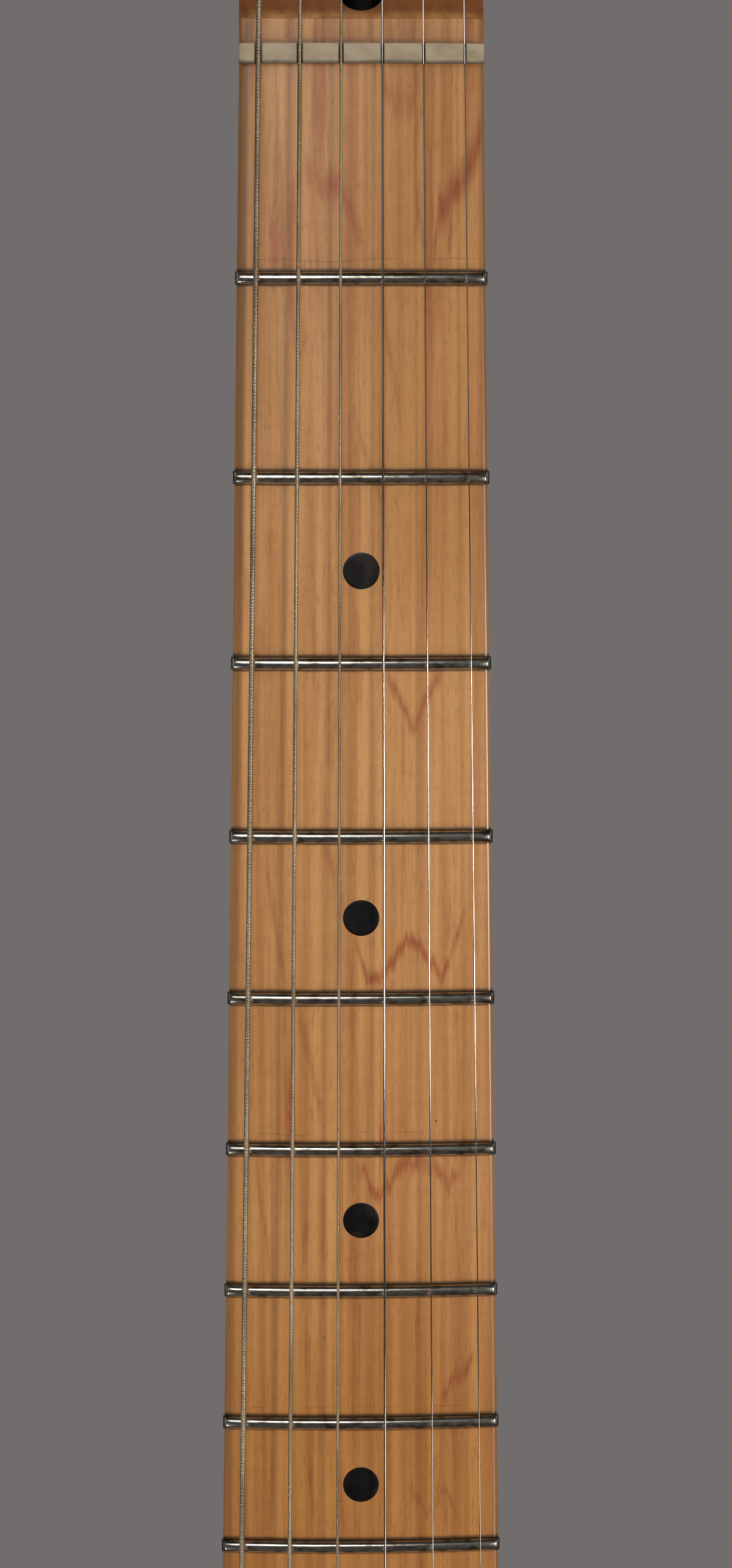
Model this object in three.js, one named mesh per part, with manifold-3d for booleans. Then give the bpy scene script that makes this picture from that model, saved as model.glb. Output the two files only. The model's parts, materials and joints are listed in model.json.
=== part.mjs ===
// Electric guitar neck for bolting to a body: maple neck and headstock, frets, nut, strings,
// truss rod and six worm-geared tuners in line. Millimetres.
// Z runs up the neck to the headstock, the fingerboard faces -Y, and X runs to the treble side.
// The origin is the middle of the heel's flat back, where the neck is screwed to a body.
import * as THREE from 'three';
import { mergeVertices } from 'three/addons/utils/BufferGeometryUtils.js';
import Module from 'manifold-3d';

const wasm = await Module();
wasm.setup();

// Scale and frets
const SCALE_LENGTH = 647.7;
const FRET_COUNT = 21;
const FRETS_PER_OCTAVE = 12;
const CROWN_WIDTH = 2.3;
const CROWN_HEIGHT = 1.1;
const TANG_WIDTH = 0.56;
const TANG_DEPTH = 1.6;
const FRET_OVERHANG = 0.3;
const TANG_INSET = 0.3;
const FRET_END_ANGLE = THREE.MathUtils.degToRad(33);

// Fingerboard
const BOARD_LENGTH = 462;
const WIDTH_AT_NUT = 42;
const WIDTH_AT_HEEL = 55.4;
const BOARD_RADIUS = 241.3;
const EDGE_ROLL = 0.9;
const BOARD_SIDE = 4.6;

// Neck back and heel
const DEPTH_AT_NUT = 20.6;
const DEPTH_AT_SCOOP = 22.6;
const HEEL_DEPTH = 25.4;
const HEEL_LENGTH = 76;
const HEEL_SCOOP = 36;
const HEEL_CORNER = 7;
const HEEL_SKIN = 0.3;
const BACK_BOXINESS = 2.15;
const HEAD_BOXINESS = 3.4;
const HEEL_BOXINESS = 6;
const PILOT_SPACING_X = 38.1;
const PILOT_SPACING_Z = 50.8;
const PILOT_RADIUS = 1.6;
const PILOT_DEPTH = 17;

// Headstock
const HEAD_THICKNESS = 14.3;
const FACE_DROP = 7;
const HEAD_START = 8;
const SHELF_LENGTH = 4;
const SHELF_DROP = 0.9;
const SCOOP_RADIUS = 20;
const THROAT_RADIUS = 24;
const HEAD_EDGE_BEVEL = 0.8;
const TUNER_TO_EDGE = 12;
const SHOULDER_LEAD = 15;
const SHOULDER_PULL = 10;
const TIP_LEAD = 13;
const TIP_PULL = 12;
const TIP_SIDE = 14.5;
const TIP_RISE = 4;
const TREBLE_PULL = 50;

// Nut
const NUT_THICKNESS = 3.3;
const NUT_SEAT = 2.3;
const NUT_ABOVE_BOARD = 2.1;

// Strings: the pitches are between neighbours, the rests are heights over the board's surface
const STRING_GAUGES = [1.067, 0.813, 0.61, 0.406, 0.279, 0.229];
const WOUND_STRINGS = 3;
const NUT_PITCH = 7.06;
const BRIDGE_PITCH = 10.76;
const NUT_REST = 1.45;
const BRIDGE_REST = 4.6;
const WRAP_TURNS = 2;
const WRAP_GAP = 0.8;
const WRAP_LOW = 4.6;
const BALL_RADIUS = 1.9;
const BALL_LENGTH = 3.8;
const BALL_CHAMFER = 0.6;
const TREE_RISE = 52;
const TREE_HEIGHT = 4;
const TREED_STRINGS = 2;

// Tuners, in line along the bass side
const FIRST_POST = 40;
const POST_PITCH = 25.4;
const POST_RADIUS = 3;
const POST_WAIST = 2.55;
const POST_ABOVE_FACE = 11.4;
const POST_HEAD = 1.9;
const WAIST_START = 3.4;
const WAIST_TAPER = 0.8;
const STRING_HOLE_RADIUS = 0.8;
const GEAR_TEETH = 14;
const GEAR_MODULE = 0.5;
const GEAR_WIDTH = 2.5;
const MESH_PLAY = 0.4;
const WORM_PITCH_RADIUS = 2;
const WORM_TURNS = 2.5;
const TOOTH_ADDENDUM = 0.45;
const TOOTH_DEDENDUM = 0.62;
const SHAFT_RADIUS = 1.9;
const PILOT_PIN_RADIUS = 1.1;
const COLLAR_RADIUS = 3.6;
const COLLAR_WIDTH = 0.9;
const PLUG_RADIUS = 2.2;
const HOUSING_WALL = 1.3;
const HOUSING_DEPTH = 10.4;
const HOUSING_OUTER_WALL = 6;
const HOUSING_EDGE = 1.1;
const HOUSING_CORNER = 2.2;
const BUSHING_RADIUS = 4.8;
const FLANGE_RADIUS = 6.8;
const FLANGE_HEIGHT = 2.2;
const BUTTON_OFFSET = 22;
const BUTTON_LENGTH = 13;
const BUTTON_WIDTH = 19;
const BUTTON_DEPTH = 7;
const BUTTON_EDGE = 1.6;
const SHAFT_INTO_BUTTON = 5;

// Truss rod, its nut and the filler strip behind it
const ACCESS_RADIUS = 4.75;
const ACCESS_TILT = THREE.MathUtils.degToRad(14);
const ACCESS_RISE = 13.5;
const ACCESS_DEPTH = 5.5;
const ACCESS_BACK = 22;
const ACCESS_OUT = 20;
const ROD_RADIUS = 2.4;
const ROD_END = 396;
const ROD_END_DEPTH = 11;
const ROD_SWING = 17;
const ROD_LEAD = 15;
const ROD_HEAD_RADIUS = 2.9;
const ROD_HEAD_LENGTH = 4;
const ROD_INTO_NUT = 7;
const ROD_NUT_RADIUS = 3.95;
const ROD_NUT_LENGTH = 12.5;
const ROD_NUT_SETBACK = 5.5;
const KEY_FLATS = 3.2;
const KEY_DEPTH = 4.5;
const STRIP_WIDTH = 6.2;

// Position dots
const DOT_RADIUS = 3.175;
const DOT_DEPTH = 1.8;
const DOT_PAIR_SPACING = 19;
const SINGLE_DOT_FRETS = [3, 5, 7, 9, 15, 17, 19, 21];
const PAIR_DOT_FRET = 12;

// Clearances
const SEAT_GAP = 0.1;
const PART_GAP = 0.3;
const RUNNING_GAP = 0.25;
const STRING_GAP = 0.15;
const CUT_OVERRUN = 2;

// Facets
const BOARD_FACETS = 8;
const BACK_FACETS = 12;
const SHAFT_STEPS = 6;
const SCOOP_STEPS = 5;
const FRET_FACETS = 5;
const ARC_FACETS = 6;
const ROD_SIDES = 8;
const ROD_STEPS = 14;
const CHANNEL_START = 2;
const LOOP_STEPS = 12;
const STRING_SIDES = 6;
const WORM_STEPS = 8;
const TURNED_SIDES = 10;
const ROUND_SIDES = 12;
const BUTTON_SIDES = 16;
const DOT_SIDES = 16;
const WELD = 1e-4;

// Derived places. Depths are measured from the board's crown line towards the back.
const STRING_COUNT = STRING_GAUGES.length;
const NUT_Z = BOARD_LENGTH - HEEL_LENGTH / 2;
const NUT_BACK = NUT_THICKNESS;
const SHELF_END = NUT_THICKNESS + SHELF_LENGTH;
const HEAD_BACK = FACE_DROP + HEAD_THICKNESS;
const depthToY = (depth) => depth - HEEL_DEPTH;
const riseToZ = (rise) => NUT_Z + rise;
const fretDistance = (fret) => SCALE_LENGTH * (1 - 2 ** (-fret / FRETS_PER_OCTAVE));
const crownDrop = (x, radius = BOARD_RADIUS) => radius - Math.sqrt(radius * radius - x * x);
const boardHalfWidth = (distance) => THREE.MathUtils.lerp(
  WIDTH_AT_NUT, WIDTH_AT_HEEL, distance / BOARD_LENGTH) / 2;

const colours = {
  maple: 0xc08e5c, bone: 0xcfc3a4, fretWire: 0xb9b6a8, dot: 0x17140f, wound: 0x8f8a80,
  plain: 0xc4c2bd, walnut: 0x4a2d1b, rod: 0x55565a, chrome: 0xc9cbcf,
};
const finish = (color, roughness, metalness) => new THREE.MeshStandardMaterial(
  { color, roughness, metalness });
const maple = finish(colours.maple, 0.35, 0);
const bone = finish(colours.bone, 0.5, 0);
const fretWire = finish(colours.fretWire, 0.25, 1);
const dotMaterial = finish(colours.dot, 0.25, 0);
const woundWire = finish(colours.wound, 0.4, 1);
const plainWire = finish(colours.plain, 0.25, 1);
const walnut = finish(colours.walnut, 0.5, 0);
const rodSteel = finish(colours.rod, 0.5, 1);
const chrome = finish(colours.chrome, 0.15, 1);

// Geometry helpers

/** Turns a closed geometry into a solid that can be joined and cut. */
function solidOf(geometry) {
  const bare = geometry.clone();
  bare.deleteAttribute('normal');
  bare.deleteAttribute('uv');
  const merged = mergeVertices(bare, WELD);
  const corners = [];
  for (let i = 0; i < merged.index.count; i += 3) {
    const [a, b, c] = [0, 1, 2].map((k) => merged.index.getX(i + k));
    if (a !== b && b !== c && c !== a) corners.push(a, b, c);
  }
  return new wasm.Manifold(new wasm.Mesh({
    numProp: 3,
    vertProperties: new Float32Array(merged.attributes.position.array),
    triVerts: new Uint32Array(corners),
  }));
}

/** Turns a solid back into a geometry. */
function geometryOf(solid) {
  const { vertProperties, triVerts } = solid.getMesh();
  const geometry = new THREE.BufferGeometry();
  geometry.setAttribute('position', new THREE.BufferAttribute(vertProperties.slice(), 3));
  geometry.setIndex(new THREE.BufferAttribute(triVerts.slice(), 1));
  geometry.computeVertexNormals();
  return geometry;
}

/** Six times the signed volume: above zero when the faces point out. */
function signedVolume(points, corners) {
  let sum = 0;
  for (let i = 0; i < corners.length; i += 3) {
    const [a, b, c] = [0, 1, 2].map((k) => points[corners[i + k]]);
    sum += a.dot(new THREE.Vector3().crossVectors(b, c));
  }
  return sum;
}

/** A closed skin through rings of points; profile is one ring flattened, for the end caps. */
function loft(rings, profile) {
  const size = profile.length;
  const backwards = THREE.ShapeUtils.isClockWise(profile);
  const corners = [];
  for (let r = 0; r + 1 < rings.length; r += 1) {
    for (let i = 0; i < size; i += 1) {
      const pair = [r * size + i, r * size + (i + 1) % size];
      const [a, b] = backwards ? pair.reverse() : pair;
      corners.push(a, b, a + size, b, b + size, a + size);
    }
  }
  const last = (rings.length - 1) * size;
  for (const [a, b, c] of THREE.ShapeUtils.triangulateShape(profile, [])) {
    corners.push(a, c, b, last + a, last + b, last + c);
  }
  const points = rings.flat();
  if (signedVolume(points, corners) < 0) {
    for (let i = 0; i < corners.length; i += 3) {
      [corners[i + 1], corners[i + 2]] = [corners[i + 2], corners[i + 1]];
    }
  }
  const geometry = new THREE.BufferGeometry().setFromPoints(points);
  geometry.setIndex(corners);
  geometry.computeVertexNormals();
  return geometry;
}

const [AXIS_X, AXIS_Y, AXIS_Z] = [
  new THREE.Vector3(1, 0, 0), new THREE.Vector3(0, 1, 0), new THREE.Vector3(0, 0, 1)];
// An outline's two coordinates are the two axes that follow the prism's own axis in X, Y, Z order.
const prismFrames = {
  x: new THREE.Matrix4().makeBasis(AXIS_Y, AXIS_Z, AXIS_X),
  y: new THREE.Matrix4().makeBasis(AXIS_Z, AXIS_X, AXIS_Y),
  z: new THREE.Matrix4().makeBasis(AXIS_X, AXIS_Y, AXIS_Z),
};

/** An outline extruded along a row axis from one place to another. */
function prism(axis, shape, from, to, bevel = 0) {
  const settings = { depth: to - from - 2 * bevel, curveSegments: ARC_FACETS, bevelEnabled: bevel > 0 };
  if (bevel > 0) {
    Object.assign(settings, {
      bevelThickness: bevel, bevelSize: bevel, bevelOffset: -bevel, bevelSegments: 1 });
  }
  const geometry = new THREE.ExtrudeGeometry(shape, settings);
  geometry.translate(0, 0, from + bevel);
  return geometry.applyMatrix4(prismFrames[axis]);
}

const outline = (pairs) => new THREE.Shape(pairs.map(([a, b]) => new THREE.Vector2(a, b)));
const rectangle = (a0, b0, a1, b1) => outline([[a0, b0], [a1, b0], [a1, b1], [a0, b1]]);

/** A closed tube through points, with one radius for each point. */
function tube(points, radii, sides) {
  const profile = [];
  for (let i = 0; i < sides; i += 1) {
    const angle = 2 * Math.PI * i / sides;
    profile.push(new THREE.Vector2(Math.cos(angle), Math.sin(angle)));
  }
  let across = AXIS_X.clone();
  const rings = points.map((point, i) => {
    const before = points[Math.max(i - 1, 0)];
    const after = points[Math.min(i + 1, points.length - 1)];
    const along = after.clone().sub(before).normalize();
    across = across.clone().addScaledVector(along, -across.dot(along)).normalize();
    const up = new THREE.Vector3().crossVectors(along, across);
    return profile.map((p) => point.clone()
      .addScaledVector(across, p.x * radii[i]).addScaledVector(up, p.y * radii[i]));
  });
  return loft(rings, profile);
}

/** A turned piece: pairs of radius and height along Y, closed on the axis at both ends. */
function turned(pairs, sides) {
  const profile = pairs.map(([radius, height]) => new THREE.Vector2(radius, height));
  if (THREE.ShapeUtils.isClockWise(profile)) profile.reverse();
  return new THREE.LatheGeometry(profile, sides);
}

const guitarNeck = new THREE.Group();

function addPiece(name, geometry, material, parent = guitarNeck) {
  const piece = new THREE.Mesh(geometry, material);
  piece.name = name;
  parent.add(piece);
}

// Strings: straight from the bridge line over the nut, then down to their posts

/** The string's X at a distance from the nut towards the bridge, below zero past the nut. */
function stringX(index, distance) {
  const pitch = THREE.MathUtils.lerp(NUT_PITCH, BRIDGE_PITCH, distance / SCALE_LENGTH);
  return (index - (STRING_COUNT - 1) / 2) * pitch;
}

/** The string's centre over the board, as a depth below zero. */
function stringDepth(index, distance) {
  const rest = THREE.MathUtils.lerp(NUT_REST, BRIDGE_REST, distance / SCALE_LENGTH);
  return crownDrop(stringX(index, distance)) - rest - STRING_GAUGES[index] / 2;
}

const wrapRadius = (index) => POST_WAIST + STRING_GAP + STRING_GAUGES[index] / 2;
const postRise = (index) => FIRST_POST + POST_PITCH * index;
const postPlaces = STRING_GAUGES.map((gauge, index) => new THREE.Vector2(
  stringX(index, -postRise(index)) - wrapRadius(index), postRise(index)));
const postLine = postPlaces[STRING_COUNT - 1].clone().sub(postPlaces[0]).normalize();
const buttonSide = new THREE.Vector2(-postLine.y, postLine.x);

/** The string's centre points from the bridge end to the last turn on its post. */
function stringRoute(index) {
  const at = (x, depth, rise) => new THREE.Vector3(x, depthToY(depth), riseToZ(rise));
  const route = [
    at(stringX(index, SCALE_LENGTH), stringDepth(index, SCALE_LENGTH), -SCALE_LENGTH),
    at(stringX(index, 0), stringDepth(index, 0), 0),
  ];
  const place = postPlaces[index];
  if (index >= STRING_COUNT - TREED_STRINGS) {
    route.push(at(stringX(index, -TREE_RISE), FACE_DROP - TREE_HEIGHT, TREE_RISE));
  }
  const radius = wrapRadius(index);
  const climb = STRING_GAUGES[index] + WRAP_GAP;
  for (let i = 0; i <= WRAP_TURNS * LOOP_STEPS; i += 1) {
    const turn = i / LOOP_STEPS;
    const angle = 2 * Math.PI * turn;
    route.push(at(place.x + radius * Math.cos(angle), FACE_DROP - WRAP_LOW - climb * turn,
      place.y + radius * Math.sin(angle)));
  }
  return route;
}

/** The least free gap between stretches of a string more than half a turn apart. */
function leastSelfGap(route, gauge) {
  const samples = [];
  let walked = 0;
  for (let i = 1; i < route.length; i += 1) {
    const length = route[i].distanceTo(route[i - 1]);
    const parts = Math.ceil(length / gauge);
    for (let k = 0; k < parts; k += 1) {
      samples.push([route[i - 1].clone().lerp(route[i], k / parts), walked + length * k / parts]);
    }
    walked += length;
  }
  const apart = Math.PI * POST_WAIST;
  let least = Infinity;
  samples.forEach(([a, atA], i) => {
    for (const [b, atB] of samples.slice(i + 1)) {
      if (atB - atA > apart) least = Math.min(least, a.distanceTo(b) - gauge);
    }
  });
  return least;
}

/** A string as one tube, from its ball end to its last turn. */
function stringGeometry(index) {
  const gauge = STRING_GAUGES[index];
  const route = stringRoute(index);
  console.log(`string_${index + 1} least gap to itself ${leastSelfGap(route, gauge).toFixed(2)} mm`);
  const [start, next] = route;
  const along = next.clone().sub(start).normalize();
  const ball = [
    [0, BALL_RADIUS - BALL_CHAMFER], [BALL_CHAMFER, BALL_RADIUS],
    [BALL_LENGTH - BALL_CHAMFER, BALL_RADIUS], [BALL_LENGTH, BALL_RADIUS - BALL_CHAMFER],
    [BALL_LENGTH + BALL_CHAMFER, gauge / 2],
  ];
  const points = ball.map(([length]) => start.clone().addScaledVector(along, length));
  const radii = ball.map(([, radius]) => radius);
  for (const point of route.slice(1)) {
    points.push(point);
    radii.push(gauge / 2);
  }
  return tube(points, radii, STRING_SIDES);
}

// Neck: lofted shaft, extruded headstock, heel block, then every cut

/** One cross-section of the shaft; boxiness is the exponent of the back's rounded curve. */
function shaftSection(rise, halfWidth, depth, boxiness) {
  const section = [];
  const topHalf = halfWidth - EDGE_ROLL;
  for (let i = 0; i <= BOARD_FACETS; i += 1) {
    const x = topHalf * (2 * i / BOARD_FACETS - 1);
    section.push([x, crownDrop(x)]);
  }
  const sideStart = crownDrop(topHalf) + EDGE_ROLL;
  const sideEnd = sideStart + BOARD_SIDE;
  section.push([halfWidth, sideStart]);
  for (let i = 0; i <= BACK_FACETS; i += 1) {
    const angle = Math.PI * i / BACK_FACETS;
    const swing = Math.cos(angle);
    const x = halfWidth * Math.sign(swing) * Math.abs(swing) ** (2 / boxiness);
    const below = (depth - sideEnd) * Math.sin(angle) ** (2 / boxiness);
    section.push([x, sideEnd + below]);
  }
  section.push([-halfWidth, sideStart]);
  return section.map(([x, y]) => new THREE.Vector3(x, depthToY(y), riseToZ(rise)));
}

function shaftGeometry() {
  const heelStart = BOARD_LENGTH - HEEL_LENGTH;
  const scoopStart = heelStart - HEEL_SCOOP;
  const innerDepth = HEEL_DEPTH - HEEL_SKIN;
  const headDepth = HEAD_BACK - HEEL_SKIN;
  const throatShares = [[1, 1, 1], [0.5, 0.7, 0.6], [0, 0.25, 0.2]];
  const sections = throatShares.map(([rise, depth, boxiness]) => shaftSection(
    SHELF_END + THROAT_RADIUS * rise, boardHalfWidth(0),
    THREE.MathUtils.lerp(DEPTH_AT_NUT, headDepth, depth),
    THREE.MathUtils.lerp(BACK_BOXINESS, HEAD_BOXINESS, boxiness)));
  for (let i = 0; i <= SHAFT_STEPS; i += 1) {
    const distance = scoopStart * i / SHAFT_STEPS;
    const depth = THREE.MathUtils.lerp(DEPTH_AT_NUT, DEPTH_AT_SCOOP, i / SHAFT_STEPS);
    sections.push(shaftSection(-distance, boardHalfWidth(distance), depth, BACK_BOXINESS));
  }
  for (let i = 1; i <= SCOOP_STEPS; i += 1) {
    const share = i / SCOOP_STEPS;
    const ease = share * share * (3 - 2 * share);
    const distance = scoopStart + HEEL_SCOOP * share;
    sections.push(shaftSection(-distance, boardHalfWidth(distance),
      THREE.MathUtils.lerp(DEPTH_AT_SCOOP, innerDepth, ease),
      THREE.MathUtils.lerp(BACK_BOXINESS, HEEL_BOXINESS, ease)));
  }
  sections.push(shaftSection(-BOARD_LENGTH, boardHalfWidth(BOARD_LENGTH), innerDepth, HEEL_BOXINESS));
  return loft(sections, sections[0].map((p) => new THREE.Vector2(p.x, p.y)));
}

/** The heel's square block below the board's straight side, with round corners at its end. */
function heelGeometry() {
  const [low, high] = [riseToZ(-BOARD_LENGTH), riseToZ(HEEL_LENGTH - BOARD_LENGTH)];
  const [end, start] = [boardHalfWidth(BOARD_LENGTH), boardHalfWidth(BOARD_LENGTH - HEEL_LENGTH)];
  const shape = new THREE.Shape();
  shape.moveTo(high, -start);
  shape.lineTo(high, start);
  shape.lineTo(low + HEEL_CORNER, end);
  shape.quadraticCurveTo(low, end, low, end - HEEL_CORNER);
  shape.lineTo(low, -end + HEEL_CORNER);
  shape.quadraticCurveTo(low, -end, low + HEEL_CORNER, -end);
  const top = EDGE_ROLL + crownDrop(end) + BOARD_SIDE;
  return prism('y', shape, depthToY(top), depthToY(HEEL_DEPTH));
}

/** The cutter that rounds the two corners of the shaft's own end to match the heel block. */
function heelCornerCutters() {
  const low = riseToZ(-BOARD_LENGTH);
  const end = boardHalfWidth(BOARD_LENGTH);
  return [1, -1].map((side) => {
    const shape = new THREE.Shape();
    shape.moveTo(low - CUT_OVERRUN, side * (end + CUT_OVERRUN));
    shape.lineTo(low - CUT_OVERRUN, side * (end - HEEL_CORNER));
    shape.lineTo(low, side * (end - HEEL_CORNER));
    shape.quadraticCurveTo(low, side * end, low + HEEL_CORNER, side * end);
    shape.lineTo(low + HEEL_CORNER, side * (end + CUT_OVERRUN));
    return prism('y', shape, depthToY(-CUT_OVERRUN), depthToY(HEEL_DEPTH + CUT_OVERRUN));
  });
}

/** The headstock's outline in Z and X: one straight tuner edge, a round tip, a soft treble side. */
function headShape() {
  const from = (place, along, out) => place.clone()
    .addScaledVector(postLine, along).addScaledVector(buttonSide, out);
  const [first, last] = [postPlaces[0], postPlaces[STRING_COUNT - 1]];
  const half = boardHalfWidth(0);
  const edgeLow = from(first, -SHOULDER_LEAD, TUNER_TO_EDGE);
  const edgeHigh = from(last, TIP_LEAD, TUNER_TO_EDGE);
  const tipEnd = from(last, TIP_RISE, -TIP_SIDE);
  const shape = new THREE.Shape();
  const curve = (a, b, end) => shape.bezierCurveTo(
    riseToZ(a.y), a.x, riseToZ(b.y), b.x, riseToZ(end.y), end.x);
  const up = (place, length) => new THREE.Vector2(place.x, place.y + length);
  const bassCorner = new THREE.Vector2(-half, HEAD_START);
  const trebleCorner = new THREE.Vector2(half, HEAD_START);
  shape.moveTo(riseToZ(bassCorner.y), bassCorner.x);
  curve(up(bassCorner, SHOULDER_PULL), from(edgeLow, -SHOULDER_PULL, 0), edgeLow);
  shape.lineTo(riseToZ(edgeHigh.y), edgeHigh.x);
  curve(from(edgeHigh, TIP_PULL, 0), up(tipEnd, TIP_PULL), tipEnd);
  curve(up(tipEnd, -TREBLE_PULL), up(trebleCorner, TREBLE_PULL), trebleCorner);
  return shape;
}

/** Everything above the shelf, the scoop and the headstock's face. */
function airOverHead() {
  const rise = Math.sqrt(SCOOP_RADIUS ** 2 - (SCOOP_RADIUS - FACE_DROP + SHELF_DROP) ** 2);
  const flat = SHELF_END + rise;
  const reach = postRise(STRING_COUNT - 1) + TIP_LEAD + TIP_PULL + TIP_SIDE;
  const pairs = [[-CUT_OVERRUN, NUT_BACK], [SHELF_DROP, NUT_BACK]];
  const steep = Math.asin(rise / SCOOP_RADIUS);
  for (let i = 0; i <= ARC_FACETS; i += 1) {
    const angle = steep * (1 - i / ARC_FACETS);
    pairs.push([FACE_DROP - SCOOP_RADIUS * (1 - Math.cos(angle)), flat - SCOOP_RADIUS * Math.sin(angle)]);
  }
  pairs.push([FACE_DROP, reach], [-CUT_OVERRUN, reach]);
  const shape = outline(pairs.map(([depth, z]) => [depthToY(depth), riseToZ(z)]));
  return prism('x', shape, -reach, reach);
}

/** The hollow under the throat, where the round back runs out into the flat headstock. */
function throatCutter() {
  const top = FACE_DROP + HEAD_EDGE_BEVEL + CUT_OVERRUN;
  const pairs = [[top, HEAD_START - CUT_OVERRUN], [HEAD_BACK + CUT_OVERRUN, HEAD_START - CUT_OVERRUN]];
  pairs.push([HEAD_BACK + CUT_OVERRUN, HEAD_START + THROAT_RADIUS]);
  const drop = HEAD_BACK - top;
  for (let i = 0; i <= ARC_FACETS; i += 1) {
    const angle = Math.PI / 2 * i / ARC_FACETS;
    pairs.push([HEAD_BACK - drop * Math.sin(angle), HEAD_START + THROAT_RADIUS * Math.cos(angle)]);
  }
  const shape = outline(pairs.map(([depth, z]) => [depthToY(depth), riseToZ(z)]));
  return prism('x', shape, -WIDTH_AT_HEEL, WIDTH_AT_HEEL);
}

/** A fret's slot, sawn flat across the board and deep enough for the tang at its low edges. */
function slotCutter(fret) {
  const half = boardHalfWidth(fretDistance(fret));
  const floor = crownDrop(half) + TANG_DEPTH + PART_GAP;
  const reach = TANG_WIDTH / 2 + RUNNING_GAP;
  const z = riseToZ(-fretDistance(fret));
  const slot = rectangle(depthToY(-CUT_OVERRUN), z - reach, depthToY(floor), z + reach);
  return prism('x', slot, -half - CUT_OVERRUN, half + CUT_OVERRUN);
}

/** Puts a piece turned about Y on the access hole's axis, at a length from the hole's middle. */
function onAccessAxis(geometry, along) {
  geometry.translate(0, along, 0);
  geometry.rotateX(Math.PI / 2 + ACCESS_TILT);
  return geometry.translate(0, depthToY(ACCESS_DEPTH), riseToZ(ACCESS_RISE));
}

/** A place on the access hole's axis, at a length from the hole's middle towards the heel. */
function downAccess(length) {
  return new THREE.Vector3(0, depthToY(ACCESS_DEPTH + length * Math.sin(ACCESS_TILT)),
    riseToZ(ACCESS_RISE - length * Math.cos(ACCESS_TILT)));
}

/** The rod's centre line: straight out of its nut, then a long bow to its end in the heel. */
function rodPoints() {
  const nutEnd = ROD_NUT_SETBACK + ROD_NUT_LENGTH;
  const clear = nutEnd + PART_GAP + ROD_RADIUS;
  const at = (depth, rise) => new THREE.Vector3(0, depthToY(depth), riseToZ(rise));
  const bow = new THREE.CubicBezierCurve3(downAccess(clear), downAccess(clear + ROD_LEAD),
    at(ROD_SWING, -ROD_END / 2), at(ROD_END_DEPTH, -ROD_END));
  return [downAccess(nutEnd - ROD_INTO_NUT), ...bow.getPoints(ROD_STEPS)];
}

/** The channel's side view: the rod's line shifted in height, out past the back, ends drawn in. */
function channelShape(shift, drawnIn) {
  const points = rodPoints().slice(CHANNEL_START);
  const pairs = points.map((p) => [p.y + shift, p.z]);
  pairs[0][1] -= drawnIn;
  pairs[pairs.length - 1][1] += drawnIn;
  const beyond = depthToY(HEEL_DEPTH + CUT_OVERRUN);
  pairs.push([beyond, pairs[pairs.length - 1][1]], [beyond, pairs[0][1]]);
  return outline(pairs);
}

/** A dot's turned blank, set square to the board's arc at a distance and an offset from the middle. */
function atDot(geometry, { distance, offset }) {
  const angle = offset / BOARD_RADIUS;
  geometry.translate(0, -BOARD_RADIUS, 0);
  geometry.rotateZ(angle);
  return geometry.translate(0, depthToY(BOARD_RADIUS), riseToZ(-distance));
}

const betweenFrets = (fret) => (fretDistance(fret) + fretDistance(fret - 1)) / 2;
const dots = SINGLE_DOT_FRETS.map((fret) => (
  { name: `dot_${fret}`, distance: betweenFrets(fret), offset: 0 }));
for (const [label, side] of [['bass', -1], ['treble', 1]]) {
  dots.push({ name: `dot_${PAIR_DOT_FRET}_${label}`, distance: betweenFrets(PAIR_DOT_FRET),
    offset: side * DOT_PAIR_SPACING / 2 });
}

const rodChannelHalf = STRIP_WIDTH / 2 + SEAT_GAP;
const blank = solidOf(shaftGeometry())
  .add(solidOf(heelGeometry()))
  .add(solidOf(prism('y', headShape(), depthToY(0), depthToY(HEAD_BACK), HEAD_EDGE_BEVEL))
    .subtract(solidOf(throatCutter())))
  .subtract(solidOf(airOverHead()));

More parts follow.
